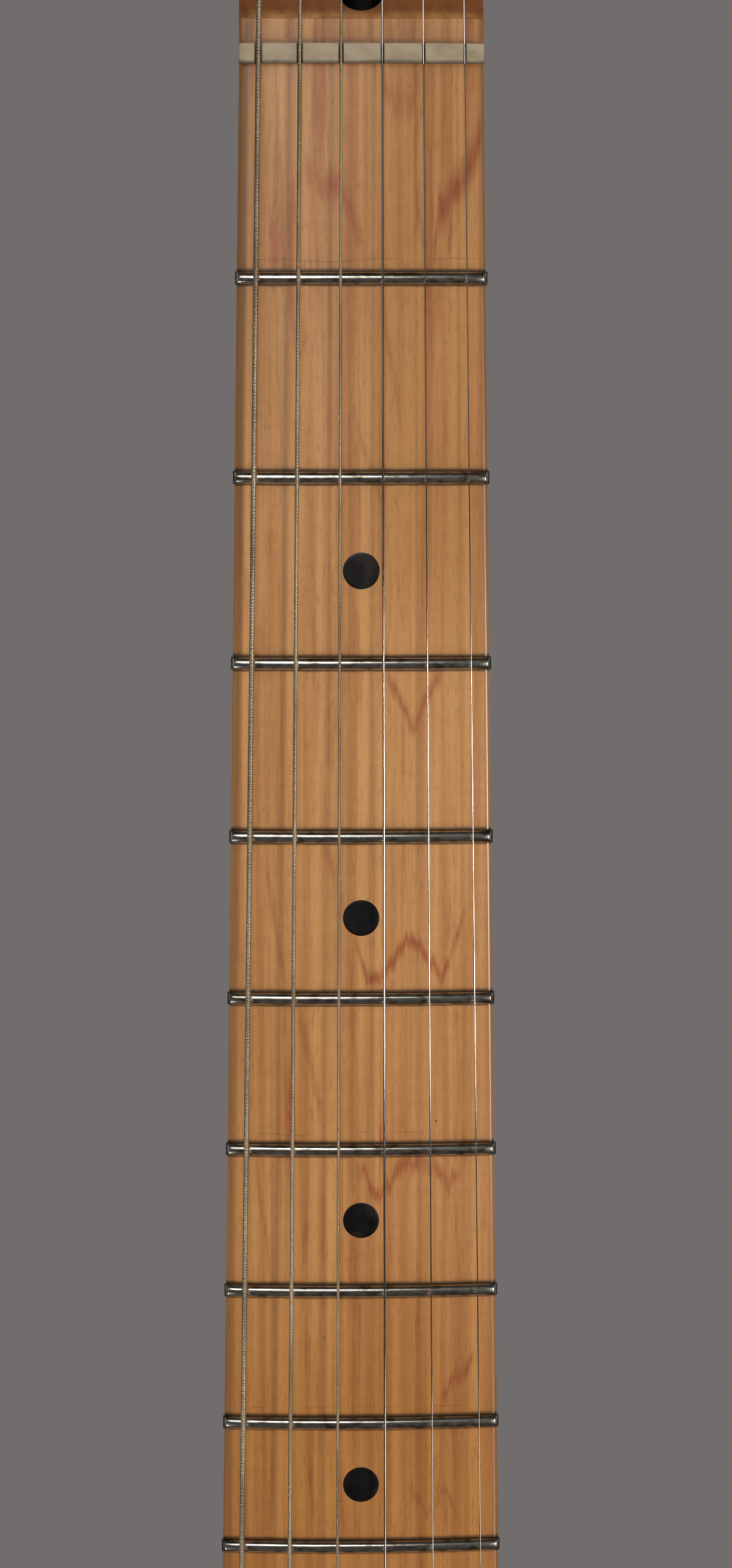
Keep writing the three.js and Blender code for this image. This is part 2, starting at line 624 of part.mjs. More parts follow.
function neckGeometry() {
  let neck = blank;
  const cut = (geometry) => {
    neck = neck.subtract(solidOf(geometry));
  };
  heelCornerCutters().forEach(cut);
  const seat = rectangle(depthToY(-CUT_OVERRUN), riseToZ(0), depthToY(NUT_SEAT), riseToZ(NUT_BACK));
  cut(prism('x', seat, -WIDTH_AT_NUT, WIDTH_AT_NUT));
  for (let fret = 1; fret <= FRET_COUNT; fret += 1) cut(slotCutter(fret));
  for (const dot of dots) {
    const height = DOT_DEPTH + SEAT_GAP + CUT_OVERRUN;
    const hole = new THREE.CylinderGeometry(DOT_RADIUS + SEAT_GAP, DOT_RADIUS + SEAT_GAP, height, DOT_SIDES);
    cut(atDot(hole.translate(0, height / 2 - CUT_OVERRUN, 0), dot));
  }
  for (const x of [-PILOT_SPACING_X / 2, PILOT_SPACING_X / 2]) {
    for (const z of [-PILOT_SPACING_Z / 2, PILOT_SPACING_Z / 2]) {
      const height = PILOT_DEPTH + CUT_OVERRUN;
      const hole = new THREE.CylinderGeometry(PILOT_RADIUS, PILOT_RADIUS, height, TURNED_SIDES);
      cut(hole.translate(x, height / 2 - PILOT_DEPTH, z));
    }
  }
  for (const place of postPlaces) {
    const radius = BUSHING_RADIUS + PART_GAP;
    const height = HEAD_BACK + CUT_OVERRUN + CUT_OVERRUN;
    const hole = new THREE.CylinderGeometry(radius, radius, height, ROUND_SIDES);
    cut(hole.translate(place.x, depthToY(HEAD_BACK / 2), riseToZ(place.y)));
  }
  const length = ACCESS_BACK + ACCESS_OUT;
  cut(onAccessAxis(new THREE.CylinderGeometry(ACCESS_RADIUS, ACCESS_RADIUS, length, ROUND_SIDES),
    (ACCESS_OUT - ACCESS_BACK) / 2));
  const front = -ROD_HEAD_RADIUS - PART_GAP;
  cut(prism('x', channelShape(front, -PART_GAP), -rodChannelHalf, rodChannelHalf));
  const rodHole = rodPoints().slice(0, CHANNEL_START + 2);
  cut(tube(rodHole, rodHole.map(() => ROD_RADIUS + PART_GAP), ROD_SIDES));
  return geometryOf(neck);
}

function stripGeometry() {
  const half = rodChannelHalf - SEAT_GAP;
  const body = prism('x', channelShape(ROD_HEAD_RADIUS + SEAT_GAP, SEAT_GAP), -half, half);
  return geometryOf(blank.intersect(solidOf(body)));
}

// Nut

function nutGeometry() {
  const half = WIDTH_AT_NUT / 2;
  const pairs = [[-half, depthToY(NUT_SEAT)], [half, depthToY(NUT_SEAT)]];
  const topRadius = BOARD_RADIUS + NUT_ABOVE_BOARD;
  for (let i = 0; i <= BOARD_FACETS; i += 1) {
    const x = half * (1 - 2 * i / BOARD_FACETS);
    pairs.push([x, depthToY(crownDrop(x, topRadius) - NUT_ABOVE_BOARD)]);
  }
  let nut = solidOf(prism('z', outline(pairs), riseToZ(0), riseToZ(NUT_BACK)));
  STRING_GAUGES.forEach((gauge, index) => {
    const [, front, behind] = stringRoute(index);
    const reach = gauge / 2 + STRING_GAP;
    const fall = (behind.y - front.y) / (behind.z - front.z);
    const floorAt = (z) => front.y + reach + fall * z;
    const shape = outline([
      [front.y + reach, riseToZ(-CUT_OVERRUN)], [front.y + reach, riseToZ(0)],
      [floorAt(NUT_BACK + CUT_OVERRUN), riseToZ(NUT_BACK + CUT_OVERRUN)],
      [depthToY(-NUT_ABOVE_BOARD - CUT_OVERRUN), riseToZ(NUT_BACK + CUT_OVERRUN)],
      [depthToY(-NUT_ABOVE_BOARD - CUT_OVERRUN), riseToZ(-CUT_OVERRUN)],
    ]);
    nut = nut.subtract(solidOf(prism('x', shape, front.x - reach, front.x + reach)));
  });
  return geometryOf(nut);
}

// Frets: a T section swept along the board's arc, with its ends filed to a slope

function fretGeometry(fret) {
  const distance = fretDistance(fret);
  const half = boardHalfWidth(distance);
  const crownShares = [[-0.5, 0], [-0.4, 0.62], [-0.16, 0.97], [0.16, 0.97], [0.4, 0.62], [0.5, 0]];
  const section = crownShares.map(([across, up]) => [
    across * CROWN_WIDTH, SEAT_GAP + up * CROWN_HEIGHT]);
  section.push([TANG_WIDTH / 2, SEAT_GAP], [TANG_WIDTH / 2, -TANG_DEPTH]);
  section.push([-TANG_WIDTH / 2, -TANG_DEPTH], [-TANG_WIDTH / 2, SEAT_GAP]);
  const rings = [];
  for (let i = 0; i <= FRET_FACETS; i += 1) {
    const share = 2 * i / FRET_FACETS - 1;
    rings.push(section.map(([across, up]) => {
      const end = up > 0
        ? half + FRET_OVERHANG - (up - SEAT_GAP) * Math.tan(FRET_END_ANGLE)
        : half - TANG_INSET;
      const angle = share * end / BOARD_RADIUS;
      const radius = BOARD_RADIUS + up;
      return new THREE.Vector3(radius * Math.sin(angle),
        depthToY(BOARD_RADIUS - radius * Math.cos(angle)), riseToZ(across - distance));
    }));
  }
  return loft(rings, section.map(([a, b]) => new THREE.Vector2(a, b)));
}

// Truss rod and its nut

function rodGeometry() {
  const points = rodPoints();
  const end = points[points.length - 1];
  const along = end.clone().sub(points[points.length - 2]).normalize();
  const neckEnd = end.clone().addScaledVector(along, -ROD_HEAD_LENGTH);
  points.splice(points.length - 1, 0, neckEnd.clone().addScaledVector(along, -SEAT_GAP), neckEnd);
  const radii = points.map((point, i) => (i >= points.length - 2 ? ROD_HEAD_RADIUS : ROD_RADIUS));
  return tube(points, radii, ROD_SIDES);
}

function rodNutGeometry() {
  const chamfer = ROD_NUT_RADIUS - ROD_RADIUS - PART_GAP;
  const bore = ROD_RADIUS + PART_GAP;
  const top = -ROD_NUT_SETBACK;
  const bottom = top - ROD_NUT_LENGTH;
  const depth = ROD_INTO_NUT + PART_GAP;
  const profile = [
    [0, bottom + depth], [bore, bottom + depth], [bore, bottom], [ROD_NUT_RADIUS, bottom],
    [ROD_NUT_RADIUS, top - chamfer / 2], [ROD_NUT_RADIUS - chamfer / 2, top], [0, top],
  ];
  const across = KEY_FLATS / Math.sqrt(3);
  const socket = new THREE.CylinderGeometry(across, across, KEY_DEPTH + CUT_OVERRUN, 6);
  socket.translate(0, top - KEY_DEPTH + (KEY_DEPTH + CUT_OVERRUN) / 2, 0);
  const solid = solidOf(turned(profile, ROUND_SIDES)).subtract(solidOf(socket));
  return onAccessAxis(geometryOf(solid), 0);
}

// Tuners, each in its own frame: X to the button, Y to the back, Z down the row, origin at the
// post's axis on the headstock's back

const GEAR_RADIUS = GEAR_MODULE * GEAR_TEETH / 2;
const THREAD_PITCH = Math.PI * GEAR_MODULE;
const WORM_AXIS = GEAR_RADIUS + WORM_PITCH_RADIUS;
const WORM_OUTER = WORM_PITCH_RADIUS + TOOTH_ADDENDUM;
const WORM_CORE = WORM_PITCH_RADIUS - TOOTH_DEDENDUM;
const GEAR_OUTER = GEAR_RADIUS + TOOTH_ADDENDUM;
const CAVITY_SIDE = GEAR_OUTER + PART_GAP;
const CAVITY_FAR = WORM_AXIS + WORM_OUTER + PART_GAP;
const CAVITY_HALF_DEPTH = WORM_OUTER + PART_GAP;
const GEAR_LEVEL = HOUSING_DEPTH / 2;
const FLANGE_TOP = -HEAD_THICKNESS - FLANGE_HEIGHT - SEAT_GAP;

/** The gear's teeth as straight-sided spokes, with a gap facing the worm. */
function gearGeometry() {
  const pairs = [];
  const halfPitch = Math.PI / GEAR_TEETH;
  const play = MESH_PLAY / 2 / GEAR_RADIUS / 2;
  const rootShare = 0.68;
  const tipShare = 0.3;
  for (let tooth = 0; tooth < GEAR_TEETH; tooth += 1) {
    const middle = halfPitch * (2 * tooth + 1);
    for (const [share, radius] of [[-rootShare, GEAR_RADIUS - TOOTH_DEDENDUM], [-tipShare, GEAR_OUTER],
      [tipShare, GEAR_OUTER], [rootShare, GEAR_RADIUS - TOOTH_DEDENDUM]]) {
      const angle = middle + share * halfPitch - Math.sign(share) * play;
      pairs.push([radius * Math.cos(angle), radius * Math.sin(angle)]);
    }
  }
  return prism('y', outline(pairs), GEAR_LEVEL - GEAR_WIDTH / 2, GEAR_LEVEL + GEAR_WIDTH / 2);
}

function postGeometry() {
  const gearFront = GEAR_LEVEL - GEAR_WIDTH / 2;
  const collar = GEAR_LEVEL - CAVITY_HALF_DEPTH + PART_GAP;
  const plug = GEAR_LEVEL + CAVITY_HALF_DEPTH - PART_GAP;
  const face = -HEAD_THICKNESS;
  const profile = [
    [0, plug], [PLUG_RADIUS, plug], [PLUG_RADIUS, gearFront],
    [COLLAR_RADIUS, collar + COLLAR_WIDTH], [COLLAR_RADIUS, collar], [POST_RADIUS, collar],
    [POST_RADIUS, face - WAIST_START + WAIST_TAPER], [POST_WAIST, face - WAIST_START],
    [POST_WAIST, face - POST_ABOVE_FACE + POST_HEAD],
    [POST_RADIUS, face - POST_ABOVE_FACE + POST_HEAD - WAIST_TAPER / 2],
    [POST_RADIUS, face - POST_ABOVE_FACE], [0, face - POST_ABOVE_FACE],
  ];
  const hole = new THREE.CylinderGeometry(STRING_HOLE_RADIUS, STRING_HOLE_RADIUS,
    2 * POST_RADIUS + CUT_OVERRUN, 6);
  hole.rotateX(Math.PI / 2);
  hole.translate(0, face - POST_ABOVE_FACE + POST_HEAD + STRING_HOLE_RADIUS, 0);
  return geometryOf(solidOf(turned(profile, TURNED_SIDES))
    .add(solidOf(gearGeometry())).subtract(solidOf(hole)));
}

/** The worm's thread: a triangular ridge wound on its core, with a crest facing the gear. */
function threadGeometry() {
  const steps = WORM_TURNS * WORM_STEPS;
  const foot = WORM_CORE - RUNNING_GAP;
  const halfFoot = (THREAD_PITCH - MESH_PLAY) / 2;
  const profile = [[-halfFoot, foot], [0, WORM_OUTER], [halfFoot, foot]];
  const rings = [];
  for (let i = 0; i <= steps; i += 1) {
    const turn = (i - steps / 2) / WORM_STEPS;
    const angle = 2 * Math.PI * turn - Math.PI / 2;
    rings.push(profile.map(([along, radius]) => new THREE.Vector3(THREAD_PITCH * turn + along,
      radius * Math.cos(angle), radius * Math.sin(angle))));
  }
  return loft(rings, profile.map(([a, b]) => new THREE.Vector2(a, b)));
}

function wormGeometry() {
  const wallOut = CAVITY_SIDE + HOUSING_OUTER_WALL;
  const pinEnd = -CAVITY_SIDE - HOUSING_WALL / 2;
  const buttonIn = BUTTON_OFFSET + SHAFT_INTO_BUTTON;
  const threadEnd = WORM_TURNS * THREAD_PITCH / 2 + PART_GAP;
  const profile = [
    [0, pinEnd], [PILOT_PIN_RADIUS, pinEnd], [PILOT_PIN_RADIUS, -threadEnd], [WORM_CORE, -threadEnd],
    [WORM_CORE, threadEnd], [WORM_OUTER, CAVITY_SIDE - PART_GAP - COLLAR_WIDTH],
    [WORM_OUTER, CAVITY_SIDE - PART_GAP], [SHAFT_RADIUS, CAVITY_SIDE - PART_GAP],
    [SHAFT_RADIUS, wallOut + PART_GAP], [WORM_OUTER + PART_GAP, wallOut + PART_GAP],
    [WORM_OUTER + PART_GAP, wallOut + PART_GAP + COLLAR_WIDTH],
    [SHAFT_RADIUS, BUTTON_OFFSET - PART_GAP], [SHAFT_RADIUS, buttonIn], [0, buttonIn],
  ];
  const shaft = turned(profile, TURNED_SIDES).rotateZ(-Math.PI / 2);
  const button = new THREE.Shape();
  button.absellipse(0, BUTTON_OFFSET + BUTTON_LENGTH / 2, BUTTON_WIDTH / 2, BUTTON_LENGTH / 2,
    0, 2 * Math.PI);
  const rim = new THREE.Shape(button.getPoints(BUTTON_SIDES / 2).slice(0, -1));
  const disc = new THREE.ExtrudeGeometry(rim, {
    depth: BUTTON_DEPTH - 2 * BUTTON_EDGE, bevelThickness: BUTTON_EDGE, bevelSize: BUTTON_EDGE,
    bevelOffset: -BUTTON_EDGE, bevelSegments: 1 });
  disc.translate(0, 0, BUTTON_EDGE - BUTTON_DEPTH / 2);
  disc.applyMatrix4(prismFrames.y);
  return geometryOf(solidOf(shaft).add(solidOf(threadGeometry())).add(solidOf(disc)))
    .translate(0, GEAR_LEVEL, WORM_AXIS);
}

function housingGeometry() {
  const [low, high] = [-CAVITY_SIDE - HOUSING_WALL, CAVITY_FAR + HOUSING_WALL];
  const [inner, outer] = [-CAVITY_SIDE - HOUSING_WALL, CAVITY_SIDE + HOUSING_OUTER_WALL];
  const shape = outline([
    [low + HOUSING_CORNER, inner], [high - HOUSING_CORNER, inner], [high, inner + HOUSING_CORNER],
    [high, outer - HOUSING_CORNER], [high - HOUSING_CORNER, outer], [low + HOUSING_CORNER, outer],
    [low, outer - HOUSING_CORNER], [low, inner + HOUSING_CORNER]]);
  let housing = solidOf(prism('y', shape, SEAT_GAP, SEAT_GAP + HOUSING_DEPTH, HOUSING_EDGE));
  const barrelFoot = HOUSING_WALL;
  const barrel = [
    [0, barrelFoot], [BUSHING_RADIUS, barrelFoot], [BUSHING_RADIUS, -HEAD_THICKNESS - SEAT_GAP],
    [FLANGE_RADIUS, -HEAD_THICKNESS - SEAT_GAP], [FLANGE_RADIUS, FLANGE_TOP + WAIST_TAPER],
    [FLANGE_RADIUS - WAIST_TAPER, FLANGE_TOP], [0, FLANGE_TOP]];
  housing = housing.add(solidOf(turned(barrel, ROUND_SIDES)));
  const cavity = rectangle(-CAVITY_SIDE, -CAVITY_SIDE, CAVITY_FAR, CAVITY_SIDE);
  housing = housing.subtract(solidOf(prism('y', cavity,
    GEAR_LEVEL - CAVITY_HALF_DEPTH, GEAR_LEVEL + CAVITY_HALF_DEPTH)));
  const postBore = new THREE.CylinderGeometry(POST_RADIUS + RUNNING_GAP, POST_RADIUS + RUNNING_GAP,
    GEAR_LEVEL - FLANGE_TOP + CUT_OVERRUN, TURNED_SIDES);
  postBore.translate(0, (GEAR_LEVEL + FLANGE_TOP - CUT_OVERRUN) / 2, 0);
  const shaftBore = new THREE.CylinderGeometry(SHAFT_RADIUS + RUNNING_GAP, SHAFT_RADIUS + RUNNING_GAP,
    outer + CUT_OVERRUN, TURNED_SIDES);
  shaftBore.rotateZ(-Math.PI / 2).translate((outer + CUT_OVERRUN) / 2, GEAR_LEVEL, WORM_AXIS);
  const pinRadius = PILOT_PIN_RADIUS + RUNNING_GAP;
  const pinLength = CAVITY_SIDE + HOUSING_WALL / 2 + RUNNING_GAP;
  const pinBore = new THREE.CylinderGeometry(pinRadius, pinRadius, pinLength, TURNED_SIDES);
  pinBore.rotateZ(-Math.PI / 2).translate(-pinLength / 2, GEAR_LEVEL, WORM_AXIS);
  for (const bore of [postBore, shaftBore, pinBore]) housing = housing.subtract(solidOf(bore));
  return geometryOf(housing);
}

// Assembly

addPiece('neck', neckGeometry(), maple);
addPiece('nut', nutGeometry(), bone);
addPiece('truss_rod', rodGeometry(), rodSteel);
addPiece('truss_rod_nut', rodNutGeometry(), rodSteel);
addPiece('filler_strip', stripGeometry(), walnut);
for (let fret = 1; fret <= FRET_COUNT; fret += 1) {
  addPiece(`fret_${fret}`, fretGeometry(fret), fretWire);
}
for (const dot of dots) {
  const disc = new THREE.CylinderGeometry(DOT_RADIUS, DOT_RADIUS, DOT_DEPTH, DOT_SIDES);
  addPiece(dot.name, atDot(disc.translate(0, DOT_DEPTH / 2, 0), dot), dotMaterial);
}
const [post, worm, housing] = [postGeometry(), wormGeometry(), housingGeometry()];
postPlaces.forEach((place, index) => {
  const tuner = new THREE.Group();
  tuner.position.set(place.x, depthToY(HEAD_BACK), riseToZ(place.y));
  tuner.rotation.y = Math.atan2(-buttonSide.y, buttonSide.x);
  guitarNeck.add(tuner);
  addPiece(`tuner_${index + 1}_housing`, housing, chrome, tuner);
  addPiece(`tuner_${index + 1}_post`, post, chrome, tuner);
  addPiece(`tuner_${index + 1}_button`, worm, chrome, tuner);
});
STRING_GAUGES.forEach((gauge, index) => {
  addPiece(`string_${index + 1}`, stringGeometry(index), index < WOUND_STRINGS ? woundWire : plainWire);
});

export default guitarNeck;
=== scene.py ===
"""Looks of a bolt-on electric guitar neck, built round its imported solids.

Lengths are in metres. Z runs up the neck to the headstock, the fingerboard faces -Y, X runs to
the treble side, and the origin lies on the heel's flat back. A depth is measured from the
board's crown line towards the back, and a rise from the nut's front towards the headstock.
"""

import json
import logging
from dataclasses import dataclass, field
from enum import Enum
from functools import reduce
from math import copysign, cos, hypot, pi, radians, sin, sqrt, tan
from typing import Iterable, Optional, Sequence, TypeVar, Union

import bmesh
import bpy
from bpy.types import Material, Mesh, Node, NodeSocket, Object
from mathutils import Matrix, Vector

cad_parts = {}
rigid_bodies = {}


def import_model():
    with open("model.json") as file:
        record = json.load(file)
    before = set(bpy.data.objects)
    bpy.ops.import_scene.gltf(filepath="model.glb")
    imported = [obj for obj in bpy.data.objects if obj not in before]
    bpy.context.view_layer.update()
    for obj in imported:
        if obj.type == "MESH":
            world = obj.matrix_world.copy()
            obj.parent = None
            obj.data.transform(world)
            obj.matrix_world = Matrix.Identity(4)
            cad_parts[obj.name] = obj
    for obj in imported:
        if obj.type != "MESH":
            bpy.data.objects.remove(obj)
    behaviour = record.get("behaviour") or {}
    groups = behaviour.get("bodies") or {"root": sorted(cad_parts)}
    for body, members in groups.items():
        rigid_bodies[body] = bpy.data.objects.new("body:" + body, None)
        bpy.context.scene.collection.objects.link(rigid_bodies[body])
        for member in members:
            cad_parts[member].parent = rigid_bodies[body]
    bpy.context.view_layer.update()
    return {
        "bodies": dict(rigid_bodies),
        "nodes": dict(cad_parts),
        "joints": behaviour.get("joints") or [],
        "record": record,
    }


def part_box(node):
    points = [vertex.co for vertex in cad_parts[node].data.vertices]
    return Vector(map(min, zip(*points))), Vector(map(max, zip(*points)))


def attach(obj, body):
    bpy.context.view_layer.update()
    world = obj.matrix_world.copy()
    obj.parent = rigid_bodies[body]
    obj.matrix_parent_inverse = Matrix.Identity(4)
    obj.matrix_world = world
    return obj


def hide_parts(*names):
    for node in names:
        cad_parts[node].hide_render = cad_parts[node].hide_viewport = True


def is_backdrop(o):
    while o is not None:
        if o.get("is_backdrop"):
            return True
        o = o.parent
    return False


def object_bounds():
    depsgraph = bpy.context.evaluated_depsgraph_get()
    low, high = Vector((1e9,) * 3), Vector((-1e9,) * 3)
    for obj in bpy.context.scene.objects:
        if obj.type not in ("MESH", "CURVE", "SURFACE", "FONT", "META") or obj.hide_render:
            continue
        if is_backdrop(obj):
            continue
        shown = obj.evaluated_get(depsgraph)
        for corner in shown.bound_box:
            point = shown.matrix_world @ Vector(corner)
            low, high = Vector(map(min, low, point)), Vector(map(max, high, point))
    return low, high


LOG = logging.getLogger("guitar_neck")
MM = 0.001
WELD = 2e-7
Pair = tuple[float, float]
Triple = tuple[float, float, float]
Colour = tuple[float, float, float, float]
Face = Sequence[int]
Blend = TypeVar("Blend", float, Vector)


def srgb(red: int, green: int, blue: int) -> Colour:
    """Turns a colour written in 0 to 255 into Blender's linear colour.

    Args:
        red: Red share of the colour.
        green: Green share of the colour.
        blue: Blue share of the colour.

    Returns:
        The linear colour with full alpha.
    """
    shares = [c / 255 for c in (red, green, blue)]
    linear = [s / 12.92 if s <= 0.04045 else ((s + 0.055) / 1.055) ** 2.4 for s in shares]
    return (linear[0], linear[1], linear[2], 1.0)


def mix(low: Blend, high: Blend, share: float) -> Blend:
    """Returns the value or point at a share of the way from low to high."""
    return low + (high - low) * share


def ease(share: float) -> float:
    """Returns a share eased at both ends."""
    share = min(max(share, 0.0), 1.0)
    return share * share * (3 - 2 * share)


def round_angles(count: int) -> list[float]:
    """Returns angles spaced evenly once round."""
    return [2 * pi * i / count for i in range(count)]


def in_metres(pairs: Iterable[Pair]) -> list[Pair]:
    """Returns pairs of millimetres as metres."""
    return [(a * MM, b * MM) for a, b in pairs]


def placed(name: str, data: bpy.types.ID) -> Object:
    """Puts data in the scene as a new object, at the origin.

    Args:
        name: The object's name.
        data: Its data, such as a mesh or a lamp.

    Returns:
        The object.
    """
    made = bpy.data.objects.new(name, data)
    bpy.context.scene.collection.objects.link(made)
    return made


class Body(Enum):
    """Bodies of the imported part, where a tuner's number completes the last two."""

    ROOT = "root"
    POST = "post_"
    BUTTON = "button_"


class Slot(Enum):
    """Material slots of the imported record."""

    MAPLE = "maple"
    WALNUT = "walnut"
    BONE = "bone"
    FRET_WIRE = "fret_wire"
    INLAY = "inlay_black"
    WOUND = "string_wound"
    PLAIN = "string_plain"
    CHROME = "tuner_chrome"


@dataclass(frozen=True)
class NeckPlan:
    """Sizes that the sub-assemblies share. Depths run from the board's crown line to the back."""

    scale_length: float = 647.7 * MM
    fret_count: int = 21
    board_length: float = 462 * MM
    width_at_nut: float = 42 * MM
    width_at_heel: float = 55.4 * MM
    board_radius: float = 241.3 * MM
    edge_roll: float = 0.9 * MM
    board_side: float = 4.6 * MM
    depth_at_nut: float = 20.6 * MM
    depth_at_scoop: float = 22.6 * MM
    heel_depth: float = 25.4 * MM
    heel_length: float = 76 * MM
    heel_scoop: float = 36 * MM
    heel_corner: float = 7 * MM
    head_thickness: float = 14.3 * MM
    face_drop: float = 7 * MM
    head_start: float = 8 * MM
    shelf_length: float = 4.3 * MM
    shelf_drop: float = 0.9 * MM
    scoop_radius: float = 20 * MM
    throat_radius: float = 24 * MM
    throat_top: float = 9.8 * MM
    nut_thickness: float = 3.3 * MM
    nut_seat: float = 2.3 * MM
    nut_above_board: float = 2.1 * MM
    gauges: tuple[float, ...] = tuple(g * MM for g in (1.067, 0.813, 0.61, 0.406, 0.279, 0.229))
    wound: int = 3
    treed: int = 2
    tree_rise: float = 52 * MM
    tree_height: float = 4 * MM
    nut_pitch: float = 7.06 * MM
    bridge_pitch: float = 10.76 * MM
    nut_rest: float = 1.45 * MM
    bridge_rest: float = 4.6 * MM
    first_post: float = 40 * MM
    post_pitch: float = 25.4 * MM
    post_waist: float = 2.55 * MM
    string_gap: float = 0.15 * MM
    access_radius: float = 4.35 * MM
    access_tilt: float = radians(14)
    access_rise: float = 13.5 * MM
    access_depth: float = 5.75 * MM

    @property
    def nut_z(self) -> float:
        """The board-side face of the nut."""
        return self.board_length - self.heel_length / 2

    @property
    def shelf_end(self) -> float:
        """How far above the nut's front the flat shelf ends."""
        return self.nut_thickness + self.shelf_length

    def y_at(self, depth: float) -> float:
        """Returns the Y of a depth below the crown line."""
        return depth - self.heel_depth

    def z_at(self, rise: float) -> float:
        """Returns the Z of a rise above the nut's front face."""
        return self.nut_z + rise

    def point(self, x: float, depth: float, rise: float) -> Vector:
        """Returns the point at an X, a depth and a rise."""
        return Vector((x, self.y_at(depth), self.z_at(rise)))

    def fret_distance(self, fret: float) -> float:
        """Returns a fret's distance from the nut."""
        return self.scale_length * (1 - 2 ** (-fret / 12))

    def between_frets(self, fret: int) -> float:
        """Returns the distance from the nut to the middle of a fret's space."""
        return (self.fret_distance(fret) + self.fret_distance(fret - 1)) / 2

    def crown_drop(self, x: float, radius: Optional[float] = None) -> float:
        """Returns how far the board's arc lies below its crown line at X."""
        radius = radius or self.board_radius
        return radius - sqrt(radius * radius - x * x)

    def half_width(self, distance: float) -> float:
        """Returns half the board's width at a distance from the nut."""
        share = max(distance, 0.0) / self.board_length
        return mix(self.width_at_nut, self.width_at_heel, share) / 2

    def string_x(self, index: int, distance: float) -> float:
        """Returns a string's X at a distance from the nut."""
        pitch = mix(self.nut_pitch, self.bridge_pitch, distance / self.scale_length)
        return (index - (len(self.gauges) - 1) / 2) * pitch

    def string_depth(self, index: int, distance: float) -> float:
        """Returns the depth of a string's centre, below zero over the board."""
        rest = mix(self.nut_rest, self.bridge_rest, distance / self.scale_length)
        return self.crown_drop(self.string_x(index, distance)) - rest - self.gauges[index] / 2

    def wrap_radius(self, index: int) -> float:
        """Returns the radius of a string's turns on its post."""
        return self.post_waist + self.string_gap + self.gauges[index] / 2

    @property
    def posts(self) -> list[Vector]:
        """The six posts' places as X and rise."""
        found = []
        for index in range(len(self.gauges)):
            rise = self.first_post + self.post_pitch * index
            found.append(Vector((self.string_x(index, -rise) - self.wrap_radius(index), rise)))
        return found

    @property
    def post_line(self) -> Vector:
        """The direction of the row of posts."""
        return (self.posts[-1] - self.posts[0]).normalized()

    @property
    def button_side(self) -> Vector:
        """The direction from a post to its button."""
        return Vector((-self.post_line.y, self.post_line.x))

    def air(self, rise: float) -> float:
        """Finds where the headstock's face lies, with the scoop behind the nut.

        Args:
            rise: How far above the nut's front.

        Returns:
            The depth above which the wood is cleared.
        """
        sag = self.scoop_radius - self.face_drop + self.shelf_drop
        run = sqrt(self.scoop_radius**2 - sag**2)
        if rise <= self.shelf_end:
            return self.shelf_drop
        if rise >= self.shelf_end + run:
            return self.face_drop
        share = (self.shelf_end + run - rise) / self.scoop_radius
        return self.face_drop - self.scoop_radius * (1 - sqrt(1 - share * share))

    def throat(self, rise: float) -> float:
        """Finds where the headstock's back lies, with its hollow throat.

        Args:
            rise: How far above the nut's front.

        Returns:
            The back's depth.
        """
        back = self.face_drop + self.head_thickness
        share = (rise - self.head_start) / self.throat_radius
        if share >= 1:
            return back
        return back - (back - self.throat_top) * sqrt(1 - max(share, 0.0) ** 2)


PLAN = NeckPlan()


# Mesh building


